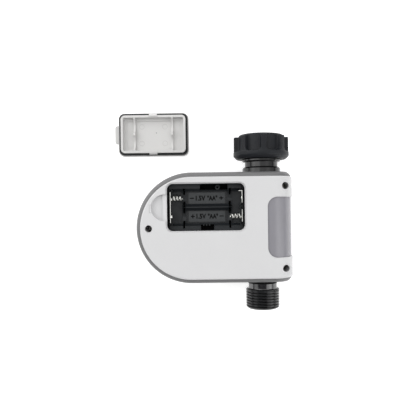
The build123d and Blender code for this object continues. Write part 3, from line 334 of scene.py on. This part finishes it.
screw_steel = metal("screw_steel", (0.33, 0.32, 0.30), 0.34)
tube_steel = metal("tube_steel", (0.60, 0.60, 0.59), 0.26, brushed=(0.1, 1.0, 1.0))
yoke_steel = metal("yoke_steel", (0.52, 0.53, 0.54), 0.38, brushed=(0.15, 1.0, 1.0))
magnet_metal = metal("magnet_metal", (0.30, 0.30, 0.31), 0.30)
valve_plastic = moulded("valve_plastic", (0.055, 0.057, 0.060), 0.42, worn=1.4)
bobbin_plastic = moulded("bobbin_plastic", (0.42, 0.40, 0.34), 0.45, worn=1.1)
screen_plastic = moulded("screen_plastic", (0.50, 0.50, 0.47), 0.45, worn=1.1)
chip_black = moulded("chip_black", (0.013, 0.013, 0.014), 0.46, grain=0.15, worn=1.6, edge=0.1)
connector_plastic = moulded("connector_plastic", (0.62, 0.58, 0.46), 0.42, edge=0.1, worn=1.08)
lead_red = moulded("lead_red", (0.42, 0.012, 0.010), 0.38, grain=0.6, edge=0.1, worn=1.2)
lead_black = moulded("lead_black", (0.014, 0.014, 0.015), 0.38, grain=0.6, edge=0.1, worn=1.5)


def make_window_finish():
    """Smoked clear window: dark glossy acrylic with hairline scratches and faint smears."""
    finish = Finish(
        "window_smoked", (0.03, 0.035, 0.04), 0.06, Transmission_Weight=0.82, IOR=1.49,
        Coat_Weight=0.3, Coat_Roughness=0.04,
    )
    smear = finish.noise(14.0, 4.0)
    finish.vary_roughness(finish.remap(smear, 0.3, 0.7, 0.45, 0.60), 0.03)
    finish.tint(finish.remap(smear, 0.35, 0.75, 0.0, 0.4), (0.045, 0.05, 0.055))
    scratches = finish.noise(0.7, 1.0, finish.stretched((0.05, 3.0, 1.0)))
    finish.bump(finish.remap(scratches, 0.70, 0.76), 0.004)
    return finish


def make_lcd_finish():
    """Liquid-crystal glass: grey-green, with the faint grid of its cells."""
    finish = Finish("lcd_glass", (0.30, 0.34, 0.26), 0.16, Coat_Weight=0.4, Coat_Roughness=0.05)
    grid = finish.node("ShaderNodeTexWave", Vector=finish.place, Scale=240.0, Distortion=0.0)
    finish.tint(finish.remap(grid.outputs["Fac"], 0.0, 1.0, 0.0, 0.10), (0.20, 0.24, 0.17))
    finish.tint(finish.remap(finish.noise(12.0, 2.0), 0.35, 0.7, 0.0, 0.4), (0.27, 0.31, 0.24))
    finish.vary_roughness(finish.noise(5.0, 2.0), 0.04)
    finish.bump(finish.noise(0.6, 1.0), 0.001)
    return finish


def make_board_finish():
    """Circuit board: green solder mask over tracks that show as a slight relief and a lighter tone."""
    finish = Finish("board_green", (0.010, 0.085, 0.030), 0.30, Coat_Weight=0.2, Coat_Roughness=0.15)
    tracks = finish.tree.nodes.new("ShaderNodeTexBrick")
    finish.tree.links.new(finish.stretched((1.0, 1.0, 0.0)), tracks.inputs["Vector"])
    layout = {"Scale": 260.0, "Mortar Size": 0.035, "Mortar Smooth": 0.3, "Row Height": 0.45}
    for key, value in layout.items():
        tracks.inputs[key].default_value = value
    line = tracks.outputs["Fac"]
    finish.tint(finish.remap(line, 0.0, 1.0, 0.0, 0.7), (0.030, 0.150, 0.055))
    finish.tint(finish.remap(finish.noise(6.0, 3.0), 0.4, 0.7, 0.0, 0.4), (0.008, 0.070, 0.026))
    finish.soften_edges(0.1)
    finish.vary_roughness(finish.noise(1.5, 2.0), 0.05)
    finish.bump(line, 0.03)
    finish.bump(finish.noise(0.3, 2.0), 0.005)
    return finish


def make_copper_finish():
    """Enamelled copper winding, with a groove between the turns along the coil's X axis, painted darker in
    the groove as painted shade.
    """
    finish = Finish(
        "copper_wire", (0.62, 0.24, 0.10), 0.30, Metallic=0.9, Coat_Weight=0.5, Coat_Roughness=0.1
    )
    wave = finish.node("ShaderNodeTexWave", Vector=finish.place, Scale=420.0, Distortion=0.4, Detail=1.0)
    turns = wave.outputs["Fac"]
    # Painted shade: darker copper in the grooves between the turns.
    finish.tint(finish.remap(turns, 0.0, 0.4, 0.6, 0.0), (0.25, 0.08, 0.03))
    finish.vary_roughness(finish.noise(1.2, 2.0), 0.07)
    finish.bump(turns, 0.08)
    return finish


def make_thread_finish():
    """Black of the outlet, which changes with the distance from its axis.

    The neck is polished and the thread dull; the crests are painted lighter than the roots as a painted
    highlight, and the neck is lighter still.
    """
    crest_highlight_fade = (12.9 * MM, 13.4 * MM)
    neck_fade = (11.70 * MM, 11.56 * MM)
    finish = moulded(
        "thread_black", (0.0022, 0.0022, 0.0025), 0.13,
        grain=0.8, grain_depth=0.004, edge=0.05, worn=1.2, IOR=1.6,
    )
    to_axis = (0.0, 0.0, -FLOW_Z * MM)
    across = finish.node("ShaderNodeMapping", Vector=finish.place, Location=to_axis, Scale=(1.0, 0.0, 1.0))
    length = finish.tree.nodes.new("ShaderNodeVectorMath")
    length.operation = "LENGTH"
    finish.tree.links.new(across.outputs[0], length.inputs[0])
    radius = length.outputs["Value"]
    # Painted highlight: lighter colour on the crests of the thread.
    finish.tint(finish.remap(radius, *crest_highlight_fade), (0.0140, 0.0145, 0.0155))
    finish.tint(finish.remap(radius, *neck_fade), (0.0170, 0.0170, 0.0190))
    gloss = finish.remap(radius, *neck_fade, 0.28, 1.0)
    finish.tree.links.new(gloss, finish.shader.inputs["Specular IOR Level"])
    return finish


def make_floor_finish():
    """Plain white board with a very faint tooth."""
    finish = Finish("floor_white", (0.90, 0.90, 0.90), 0.75, Specular_IOR_Level=0.15)
    finish.shader.inputs["Emission Color"].default_value = (1.0, 1.0, 1.0, 1.0)
    finish.shader.inputs["Emission Strength"].default_value = 0.45
    finish.tint(finish.remap(finish.noise(40.0, 2.0), 0.4, 0.7, 0.0, 0.3), (0.885, 0.885, 0.885))
    finish.bump(finish.noise(0.8, 2.0), 0.01)
    return finish


def make_backdrop_finish():
    """Evenly lit white cloth."""
    finish = Finish("backdrop_white", (0.90, 0.90, 0.90), 0.90, Specular_IOR_Level=0.0)
    finish.shader.inputs["Emission Color"].default_value = (1.0, 1.0, 1.0, 1.0)
    finish.shader.inputs["Emission Strength"].default_value = 1.0
    finish.tint(finish.remap(finish.noise(400.0, 2.0), 0.4, 0.7, 0.0, 0.3), (0.88, 0.88, 0.88))
    return finish


window_smoked = make_window_finish()
lcd_face = make_lcd_finish()
board_green = make_board_finish()
copper_wire = make_copper_finish()
thread_black = make_thread_finish()

NODE_FINISH = {
    "rear_shell": case_light, "front_shell": case_grey, "grip_panel": soft_grip,
    "case_screws": screw_steel, "case_seal": seal_black, "battery_box": bay_black,
    "contact_bridge": nickel, "contact_positive": nickel, "contact_negative": nickel,
    "bridge_spring": nickel, "negative_spring": nickel,
    "battery_cover": cover_light, "cover_gasket": seal_black, "inlet_nut": nut_black,
    "inlet_fitting": gloss_black, "outlet_fitting": gloss_black, "inlet_oring": seal_black,
    "outlet_oring": seal_black, "hose_washer": seal_black, "inlet_screen": screen_plastic,
    "valve_body": valve_plastic, "valve_bonnet": valve_plastic, "bonnet_screws": screw_steel,
    "diaphragm": seal_black, "valve_disc": valve_plastic, "core_tube": tube_steel, "plunger": tube_steel,
    "plunger_spring": nickel, "pole_piece": tube_steel, "latch_magnet": magnet_metal,
    "coil_bobbin": bobbin_plastic, "coil_winding": copper_wire, "solenoid_yoke": yoke_steel,
    "solenoid_leads": lead_red, "battery_leads": lead_black, "lead_connectors": connector_plastic,
    "circuit_board": board_green, "board_components": chip_black, "board_screws": screw_steel,
    "tact_switches": chip_black, "lcd_glass": lcd_face, "lcd_holder": connector_plastic,
    "display_window": window_smoked, "button_mode": button_soft, "button_minus": button_soft,
    "button_plus": button_soft, "button_manual": button_soft,
}


def finish_cad_nodes():
    """Gives every carried-over CAD node its finish."""
    for name, finish in NODE_FINISH.items():
        node = nodes[name]
        if not node.material_slots:
            node.data.materials.append(finish.material)
        for slot in node.material_slots:
            slot.material = finish.material


# ---------------------------------------------------------------- shared mesh builders
SHARP_ANGLE = 40.0                       # degrees, above which an edge isn't shaded smooth


def add_piece(name, mesh, finish, body, smooth=True):
    """Puts a mesh into the scene as a piece that rides on a CAD body."""
    mesh.materials.clear()
    mesh.materials.append(finish.material)
    if smooth:
        mesh.shade_smooth()
        mesh.set_sharp_from_angle(angle=math.radians(SHARP_ANGLE))
    piece = bpy.data.objects.new(name, mesh)
    bpy.context.scene.collection.objects.link(piece)
    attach(piece, body)
    return piece


def solid_mesh(name, vertices, faces):
    """Mesh with the given faces, from vertices in millimetres."""
    mesh = bpy.data.meshes.new(name)
    mesh.from_pydata([tuple(c * MM for c in v) for v in vertices], [], faces)
    mesh.update()
    return mesh


def turned_mesh(name, rings):
    """Closed mesh about the water way's axis; each ring is (y, radii), with a radius for every segment."""
    count = len(rings[0][1])
    angles = np.arange(count) * 2 * math.pi / count
    vertices = []
    for y, radii in rings:
        for angle, radius in zip(angles, radii):
            vertices.append((radius * math.sin(angle), y, FLOW_Z + radius * math.cos(angle)))
    faces = []
    for ring in range(len(rings)):
        here = ring * count
        after = (ring + 1) % len(rings) * count
        for step in range(count):
            turn = (step + 1) % count
            faces.append((here + step, here + turn, after + turn, after + step))
    return solid_mesh(name, vertices, faces)


def smooth_step(values):
    """Smooth rise from 0 to 1 of values clipped to that range."""
    clipped = np.clip(values, 0.0, 1.0)
    return clipped * clipped * (3 - 2 * clipped)


# Hose thread, in millimetres. Its section is measured from the middle of the root
PITCH = 25.4 / 11.5                      # 11.5 threads to the inch
THREAD_DEPTH = 1.25
ROOT_HALF_WIDTH = 0.28
WALL_RUN = 0.24                          # straight wall, which rises WALL_SHARE of the depth
WALL_SHARE = 0.82
CREST_START = 0.74                       # where the rounded shoulder above the wall ends
SHOULDER_RUN = 0.22
SHOULDER_SHARE = 0.18


def thread_height(y, angles, start_y):
    """Height of the helical thread, 0 at the root and 1 at the crest, for each angle."""
    phase = ((y - start_y) / PITCH + angles / (2 * math.pi)) % 1.0
    from_root = np.abs(phase - 0.5) * PITCH
    wall = np.clip((from_root - ROOT_HALF_WIDTH) / WALL_RUN, 0.0, 1.0)
    to_crest = np.clip((CREST_START - from_root) / SHOULDER_RUN, 0.0, 1.0)
    return WALL_SHARE * wall + SHOULDER_SHARE * np.sqrt(1.0 - to_crest * to_crest)


def spaced(start, end, step):
    """Evenly spaced values from start to end, both included."""
    count = max(1, round(abs(end - start) / step))
    return [start + (end - start) * index / count for index in range(count + 1)]


# ---------------------------------------------------------------- water fittings
CREST_GROW = 0.15                        # how much further out than the CAD's the outlet's crests stand
THREAD_LENGTH = 16.1
THREAD_SHIFT = -1.05                     # where the outlet's helix starts, from the outlet's end
BORE_R = 6.5
MOUTH_R = 8.9                            # wider bore under the thread
TAIL_R = 8.5                             # part that reaches into the valve
GROOVE_R = 7.3                           # bottom of the sealing ring's groove
SHOULDER_R = 11.15                       # part held in the case
NECK_R = 11.5
COLLAR_LENGTH = 0.85                     # plain collar between the neck and the thread
COLLAR_FADE = 0.5
COLLAR_EDGE_R = 12.95
COLLAR_EDGE_RUN = 0.45
LEAD_RUN = 1.6                           # rounded start of the thread at the outlet's end
LEAD_RISE = 2.0
# Outer radius of the ring of painted shade round the neck
SHADE_RING_R = 11.75


def make_outlet_thread():
    """Outlet fitting with a true helical hose thread, and a near-black ring of painted shade where it
    leaves the case.
    """
    low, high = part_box("outlet_fitting")
    end_y = low.y / MM
    inner_y = high.y / MM
    crest_r = (high.x - low.x) / 2 / MM + CREST_GROW
    count = 180
    angles = np.arange(count) * 2 * math.pi / count
    ones = np.ones(count)
    thread_top = end_y + THREAD_LENGTH
    tail = [
        (BORE_R, inner_y), (TAIL_R, inner_y), (TAIL_R, -27.0), (GROOVE_R, -27.0), (GROOVE_R, -29.2),
        (TAIL_R, -29.2), (TAIL_R, -40.5), (SHOULDER_R, -40.5), (SHOULDER_R, -40.8), (SHOULDER_R, -43.9),
    ]
    neck = [
        (NECK_R, -44.2), (NECK_R, thread_top + 0.60), (NECK_R, thread_top + 0.30),
        (11.6, thread_top + 0.12), (11.85, thread_top + 0.05), (12.8, thread_top),
    ]
    rings = [(y, radius * ones) for radius, y in tail + neck]
    depth = THREAD_DEPTH + CREST_GROW
    for y in spaced(thread_top - 0.04, end_y + 0.05, PITCH / 32):
        thread_r = crest_r - depth * (1 - thread_height(y, angles, end_y + THREAD_SHIFT))
        collar = 1 - smooth_step((thread_top - COLLAR_LENGTH - y) / COLLAR_FADE)
        blended = thread_r * (1 - collar) + crest_r * collar
        edge_share = min(1.0, (thread_top - y) / COLLAR_EDGE_RUN)
        edge_r = COLLAR_EDGE_R + (crest_r - COLLAR_EDGE_R) * edge_share
        lead_share = min(1.0, max(0.0, (y - end_y) / LEAD_RUN))
        lead_r = NECK_R + LEAD_RISE * lead_share ** 0.6
        rings.append((y, np.minimum(np.minimum(blended, edge_r), lead_r)))
    inside = [
        (11.3, end_y), (9.5, end_y), (9.05, end_y + 0.2), (MOUTH_R, end_y + 0.6),
        (MOUTH_R, -48.0), (BORE_R, -44.0),
    ]
    rings += [(y, radius * ones) for radius, y in inside]
    mesh = turned_mesh("outlet_thread", rings)
    piece = add_piece("outlet_thread", mesh, thread_black, "case")
    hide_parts("outlet_fitting")
    # Painted shade: a near-black ring round the neck where it enters the case, standing for the shade in
    # the gap at the case's wall.
    shade_ring = [
        (11.2, -43.2), (11.55, -43.3), (SHADE_RING_R, -43.7), (SHADE_RING_R, -45.6),
        (11.65, -46.0), (11.4, -46.15), (11.2, -46.0),
    ]
    shade_ring_mesh = turned_mesh("outlet_shade_ring", [(y, radius * ones) for radius, y in shade_ring])
    add_piece("outlet_shade_ring", shade_ring_mesh, shade_and_letter_black, "case")


RIB_COUNT = 8
DRUM_R = 18.25
RIB_R = 22.2
RING_R = 22.5                            # plain ring below the ribs
RING_TOP = 59.6
RING_FADE = 1.2                          # height over which the ring narrows to the ribs
RIB_TOP = 72.0
POCKET_FLOOR = 60.4
POCKET_HALF_WIDTH = 5.65
POCKET_CORNER_R = 2.6
POCKET_WIDTH_R = 20.6                    # distance from the axis at which a pocket has that width
WALL_FADE = 0.45                         # half the width of a pocket's sloping wall
NUT_CREST_R = 12.2
NUT_THREAD_START = 63.2
NUT_LEAD_DEPTH = 1.9                     # lead-in at the mouth of the nut's thread
NUT_LEAD_RUN = 1.1
NUT_RELIEF_R = 13.7
NUT_BORE_R = 11.6


def make_nut():
    """Swivel nut: drum, ring, eight ribs with rounded pockets between, and a helical thread inside."""
    low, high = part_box("inlet_nut")
    bottom = low.y / MM
    top = high.y / MM
    count = 480
    angles = np.arange(count) * 2 * math.pi / count
    ones = np.ones(count)
    to_pocket = (angles / (2 * math.pi) * RIB_COUNT) % 1.0 - 0.5
    lateral = np.sin(to_pocket * 2 * math.pi / RIB_COUNT) * POCKET_WIDTH_R

    def rib_share(y):
        """1 on ribs and the ring, 0 in the pockets, for each angle at that height."""
        across = np.abs(lateral) - (POCKET_HALF_WIDTH - POCKET_CORNER_R)
        down = (POCKET_FLOOR + POCKET_CORNER_R) - y
        outside = np.hypot(np.maximum(across, 0), max(down, 0)) + np.minimum(np.maximum(across, down), 0)
        return smooth_step((outside - POCKET_CORNER_R + WALL_FADE) / (2 * WALL_FADE))

    foot = [
        (NUT_BORE_R, 0.0), (15.0, 0.0), (19.0, 0.0), (19.6, 0.05), (20.1, 0.25), (20.6, 0.65),
        (22.1, 2.15), (22.4, 2.6), (RING_R, 3.1), (RING_R, 4.6),
    ]
    rings = [(bottom + rise, radius * ones) for radius, rise in foot]
    for y in spaced(POCKET_FLOOR - 0.7, RIB_TOP, 0.36):
        outer = RIB_R + (RING_R - RIB_R) * (1 - smooth_step((y - RING_TOP) / RING_FADE))
        rings.append((y, DRUM_R + (outer - DRUM_R) * rib_share(y)))
    rib_ends = [(22.12, 72.25), (21.9, 72.45), (21.6, 72.57), (21.3, 72.6), (19.4, 72.6), (18.6, 72.62)]
    rings += [(y, DRUM_R + (radius - DRUM_R) * rib_share(y)) for radius, y in rib_ends]
    mouth = [
        (DRUM_R, 72.75), (DRUM_R, 72.95), (18.2, 73.2), (18.05, 73.55), (17.75, 73.95), (17.3, 74.22),
        (16.9, top), (13.9, top), (13.5, top - 0.08), (13.2, top - 0.35),
    ]
    rings += [(y, radius * ones) for radius, y in mouth]
    for y in spaced(top - 0.8, NUT_THREAD_START, PITCH / 16):
        thread_r = NUT_CREST_R + THREAD_DEPTH * (1 - thread_height(y, angles, NUT_THREAD_START))
        lead_share = max(0.0, (y - (top - NUT_LEAD_DEPTH)) / NUT_LEAD_RUN)
        rings.append((y, np.maximum(thread_r, NUT_CREST_R + NUT_LEAD_RUN * lead_share)))
    relief = [
        (NUT_RELIEF_R, NUT_THREAD_START - 0.1), (NUT_RELIEF_R, 57.5), (11.65, 57.5), (NUT_BORE_R, 57.3),
    ]
    rings += [(y, radius * ones) for radius, y in relief]
    mesh = turned_mesh("swivel_nut", rings)
    piece = add_piece("swivel_nut", mesh, nut_black, "nut")
    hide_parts("inlet_nut")


# ---------------------------------------------------------------- small moulded marks
REAR_Z = 58.0                            # the case's rear face
BAY_X = -45.5                            # middle of the battery bay
BAY_FLOOR_Z = 39.0
CELL_YS = (23.35, 8.85)
SINK = 0.05                              # how deep a raised mark starts below its face
SHADE_FILM_BASE = 0.02                         # a painted-shade film's underside and face, above the floor it lies on
SHADE_FILM_TOP = 0.08


def text_mesh(name, text, spot, size, base_z, top_z):
    """Raised letters fitted to a width and height about a spot, all in millimetres."""
    data = bpy.data.curves.new(name, "FONT")
    data.body = text
    data.extrude = 0.5
    data.offset = 0.034                      # thickens the strokes
    data.resolution_u = 4
    letters = bpy.data.objects.new(name, data)
    bpy.context.scene.collection.objects.link(letters)
    bpy.context.view_layer.update()
    mesh = bpy.data.meshes.new_from_object(letters)
    bpy.data.objects.remove(letters)
    points = np.array([v.co for v in mesh.vertices])
    middle = (points.max(0) + points.min(0)) / 2
    target = np.array((*size, top_z - base_z))
    points = (points - middle) * target / np.ptp(points, axis=0)
    points += np.array((*spot, (base_z + top_z) / 2))
    mesh.vertices.foreach_set("co", (points * MM).astype(np.float32).ravel())
    mesh.update()
    return mesh


def bars_mesh(name, bars, base_z, top_z, slope=0.08):
    """Straight raised bars with sloping sides; each is given by its middle x and y, width and height."""
    vertices, faces = [], []
    for x, y, width, height in bars:
        base = len(vertices)
        for z, inset in ((base_z, 0.0), (top_z, slope)):
            half_x = width / 2 - inset
            half_y = height / 2 - inset
            for sign_x, sign_y in ((-1, -1), (1, -1), (1, 1), (-1, 1)):
                vertices.append((x + sign_x * half_x, y + sign_y * half_y, z))
        faces.append((base + 3, base + 2, base + 1, base))
        faces.append((base + 4, base + 5, base + 6, base + 7))
        for side in range(4):
            turn = (side + 1) % 4
            faces.append((base + side, base + turn, base + 4 + turn, base + 4 + side))
    mesh = solid_mesh(name, vertices, faces)
    if top_z < base_z:
        mesh.flip_normals()
    return mesh


def add_mark(name, bars, base_z, top_z, finish, slope=0.08):
    """Puts raised bars into the scene as a flat-shaded piece of the case."""
    mesh = bars_mesh(name, bars, base_z, top_z, slope)
    add_piece(name, mesh, finish, "case", smooth=False)


# Words on the plates under the cells: text, middle x, width
WORDS = (
    (("1.5V", -49.8, 7.7), ('"AA"', -40.4, 8.0)),
    (("1.5V", -49.4, 7.6), ('"AA"', -40.0, 8.0)),
)
WORD_HEIGHT = 4.0
SIGN_XS = ((-33.3, -56.7), (-56.1, -33.0))   # plus and minus on each plate
PLUS_LENGTH = 3.3
MINUS_LENGTH = 3.5
SIGN_WIDTH = 0.85
PLATE_X = BAY_X + 0.7
PLATE_WIDTH = 29.4
PLATE_HEIGHT = 9.1
PLATE_Z = 39.4                           # face of the CAD's plates
PLATE_TOP = PLATE_Z + 0.10
LETTER_BASE = PLATE_Z + 0.05
LETTER_TOP = PLATE_Z + 0.3
BORDER_X = 0.9                           # how far the dark surround reaches past its plate
BORDER_Y = 0.8
SURROUND_BASE = BAY_FLOOR_Z - 0.02
SURROUND_TOP = BAY_FLOOR_Z + 0.06


def make_battery_marks():
    """Lighter plates under the cells, each in a dark surround, with the cell type and polarity on them."""
    for number, (words, signs, cell_y) in enumerate(zip(WORDS, SIGN_XS, CELL_YS), start=1):
        border = [(PLATE_X, cell_y, PLATE_WIDTH + 2 * BORDER_X, PLATE_HEIGHT + 2 * BORDER_Y)]
        add_mark(f"label_surround_{number}", border, SURROUND_BASE, SURROUND_TOP, mark_black, slope=0.05)
        plate = [(PLATE_X, cell_y, PLATE_WIDTH, PLATE_HEIGHT)]
        add_mark(f"label_plate_{number}", plate, PLATE_Z - SINK, PLATE_TOP, label_black, slope=0.1)
        for index, (text, word_x, width) in enumerate(words, start=1):
            name = f"cell_word_{number}_{index}"
            word = text_mesh(name, text, (word_x, cell_y), (width, WORD_HEIGHT), LETTER_BASE, LETTER_TOP)
            add_piece(name, word, shade_and_letter_black, "case", smooth=False)
        plus_x, minus_x = signs
        bars = [
            (plus_x, cell_y, PLUS_LENGTH, SIGN_WIDTH),
            (plus_x, cell_y, SIGN_WIDTH, PLUS_LENGTH),
            (minus_x, cell_y, MINUS_LENGTH, SIGN_WIDTH),
        ]
        add_mark(f"cell_signs_{number}", bars, LETTER_BASE, LETTER_TOP, shade_and_letter_black)


RIB_XS = (BAY_X - 17.4, BAY_X + 19.1)
RIB_SLOTS = ((28.5, 5.0), (18.6, 4.6), (13.4, 4.4), (2.4, 6.0))   # middle y and length
SLOT_FLOOR_Z = BAY_FLOOR_Z - 0.8
# Width of the painted shade in the bottom of a rib slot
SLOT_SHADE_WIDTH = 1.4
NOTCHES = ((-39.2, 32.05, 22.0, 4.6), (-44.4, 0.15, 10.6, 4.6))   # middle x and y, width and height
SHADE_FILM_GAP = 0.2                           # how much shorter than its slot or notch a painted-shade film is


def make_bay_shadows():
    """Painted shade: matte dark film in the bottoms of the rib slots and of the hook notches, where shade
    falls.
    """
    bars = [
        (rib_x, slot_y, SLOT_SHADE_WIDTH, length - SHADE_FILM_GAP)
        for rib_x in RIB_XS
        for slot_y, length in RIB_SLOTS
    ]
    add_mark("slot_painted_shade", bars, SLOT_FLOOR_Z + SHADE_FILM_BASE, SLOT_FLOOR_Z + SHADE_FILM_TOP, shade_and_letter_black, slope=0.02)
    bars = [(x, y, width - SHADE_FILM_GAP, height - SHADE_FILM_GAP) for x, y, width, height in NOTCHES]
    add_mark("notch_painted_shade", bars, BAY_FLOOR_Z + SHADE_FILM_BASE, BAY_FLOOR_Z + SHADE_FILM_TOP, shade_and_letter_black, slope=0.02)


def make_open_mark():
    """Faint raised bracket beside the thumb recess."""
    line = 0.35
    bars = [(-88.9, 15.3, line, 6.3), (-88.1, 18.3, 1.9, line), (-88.1, 12.3, 1.9, line)]
    add_mark("open_mark", bars, REAR_Z - SINK, REAR_Z + 0.12, mark_grey, slope=0.1)


# Segments of a figure: middle across and up, in half widths of the figure, and whether it stands upright
SEGMENTS = {
    "a": (0, 2, False), "b": (1, 1, True), "c": (1, -1, True), "d": (0, -2, False),
    "e": (-1, -1, True), "f": (-1, 1, True), "g": (0, 0, False),
}
FIGURE_HALF_WIDTH = 2.6
SEGMENT_LENGTH = 4.6
SEGMENT_WIDTH = 1.1
COLON_DOT = 1.3
COLON_UP = 2.2
# Figures of the time 12:00: middle across and lit segments
FIGURES = ((-14.0, "bc"), (-5.6, "abged"), (5.6, "abcdef"), (14.0, "abcdef"))


def face_below(node_name):
    """Middle x, middle y and lowest z of a CAD node, in millimetres."""
    low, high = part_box(node_name)
    return (low.x + high.x) / 2 / MM, (low.y + high.y) / 2 / MM, low.z / MM


def make_display_figures():
    """Figures of a clock on the display glass, which is read from below."""
    middle_x, middle_y, face_z = face_below("lcd_glass")
    bars = []
    for figure, lit in FIGURES:
        for segment in lit:
            across, up, upright = SEGMENTS[segment]
            spot_x = middle_x - figure - across * FIGURE_HALF_WIDTH
            spot_y = middle_y + up * FIGURE_HALF_WIDTH
            size = (SEGMENT_WIDTH, SEGMENT_LENGTH) if upright else (SEGMENT_LENGTH, SEGMENT_WIDTH)
            bars.append((spot_x, spot_y, *size))
    bars += [(middle_x, middle_y + up, COLON_DOT, COLON_DOT) for up in (-COLON_UP, COLON_UP)]
    add_mark("display_figures", bars, face_z + 0.02, face_z - 0.08, mark_black, slope=0.02)


def make_button_icons():
    """Raised icons on the button caps: two lines, a minus, a plus and a square."""
    # The bars of each icon: middle x and y on the cap, width and height
    icons = {
        "mode": [(0.0, 0.8, 3.0, 0.6), (0.0, -0.8, 3.0, 0.6)],
        "minus": [(0.0, 0.0, 3.0, 0.7)],
        "plus": [(0.0, 0.0, 3.0, 0.7), (0.0, 0.0, 0.7, 3.0)],
        "manual": [(0.0, 0.0, 2.2, 2.2)],
    }
    for button, bars in icons.items():
        middle_x, middle_y, face_z = face_below(f"button_{button}")
        placed = [(middle_x + x, middle_y + y, width, height) for x, y, width, height in bars]
        mesh = bars_mesh(f"icon_{button}", placed, face_z + 0.02, face_z - 0.12, 0.06)
        add_piece(f"icon_{button}", mesh, case_light, f"key_{button}", smooth=False)


def ring_mesh(name, spots, radius, width, low_z, high_z):
    """Flat raised rings with sloping sides, one at each spot."""
    count = 40
    profile = [
        (radius - width / 2, low_z),
        (radius - width / 4, high_z),
        (radius + width / 4, high_z),
        (radius + width / 2, low_z),
    ]
    corners = len(profile)
    vertices, faces = [], []
    for x, y in spots:
        base = len(vertices)
        for step in range(count):
            angle = step * 2 * math.pi / count
            vertices += [(x + r * math.cos(angle), y + r * math.sin(angle), z) for r, z in profile]
        for step in range(count):
            here = base + step * corners
            after = base + (step + 1) % count * corners
            for side in range(corners):
                other = (side + 1) % corners
                faces.append((here + side, after + side, after + other, here + other))
    return solid_mesh(name, vertices, faces)


COVER_MIDDLE = (-90.7, 80.3)
COVER_WALL = 1.6                         # thickness of the cover, which lies inside-up
PIN_XS = (-10.3, 10.0)                   # ejector pins, from the cover's middle
PIN_YS = (-7.5, 7.1)
PIN_R = 2.1
PIN_LINE = 0.5
STEP_MIDDLE = (COVER_MIDDLE[0] + 1.0, COVER_MIDDLE[1] - 0.8)
STEP_HALF_X = 25.3
STEP_HALF_Y = 12.6
STEP_WIDTH = 0.45
GATE_SPOT = (COVER_MIDDLE[0] + 2.4, COVER_MIDDLE[1] + 1.6)
GATE_R = 0.28
GATE_LINE = 0.4


def make_cover_marks():
    """Marks on the cover's inside: rings of the ejector pins, a faint step drawn as a darker line of
    painted shade, and the speck of its gate.
    """
    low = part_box("battery_cover")[0]
    floor_z = low.z / MM + COVER_WALL
    base_z = floor_z - SINK
    spots = [(COVER_MIDDLE[0] + dx, COVER_MIDDLE[1] + dy) for dx in PIN_XS for dy in PIN_YS]
    pins = ring_mesh("ejector_marks", spots, PIN_R, PIN_LINE, base_z, floor_z + 0.08)
    add_piece("ejector_marks", pins, cover_mark, "cover")
    # Painted shade: the step's bars are darker than the cover and draw the shaded line along the step.
    middle_x, middle_y = STEP_MIDDLE
    bars = [(middle_x, middle_y + side * STEP_HALF_Y, 2 * STEP_HALF_X, STEP_WIDTH) for side in (-1, 1)]
    bars += [(middle_x + side * STEP_HALF_X, middle_y, STEP_WIDTH, 2 * STEP_HALF_Y) for side in (-1, 1)]
    step = bars_mesh("cover_step", bars, base_z, floor_z + 0.12, 0.1)
    add_piece("cover_step", step, cover_mark, "cover", smooth=False)
    speck = ring_mesh("gate_mark", [GATE_SPOT], GATE_R, GATE_LINE, base_z, floor_z + 0.15)
    add_piece("gate_mark", speck, case_grey, "cover")


# ---------------------------------------------------------------- build
make_camera()
make_world()
make_floor(make_floor_finish().material)
make_backdrop(make_backdrop_finish().material)
finish_cad_nodes()
make_outlet_thread()
make_nut()
make_battery_marks()
make_bay_shadows()
make_open_mark()
make_cover_marks()
make_display_figures()
make_button_icons()

scene = bpy.context.scene
scene.view_settings.view_transform = "Standard"
scene.view_settings.look = "None"
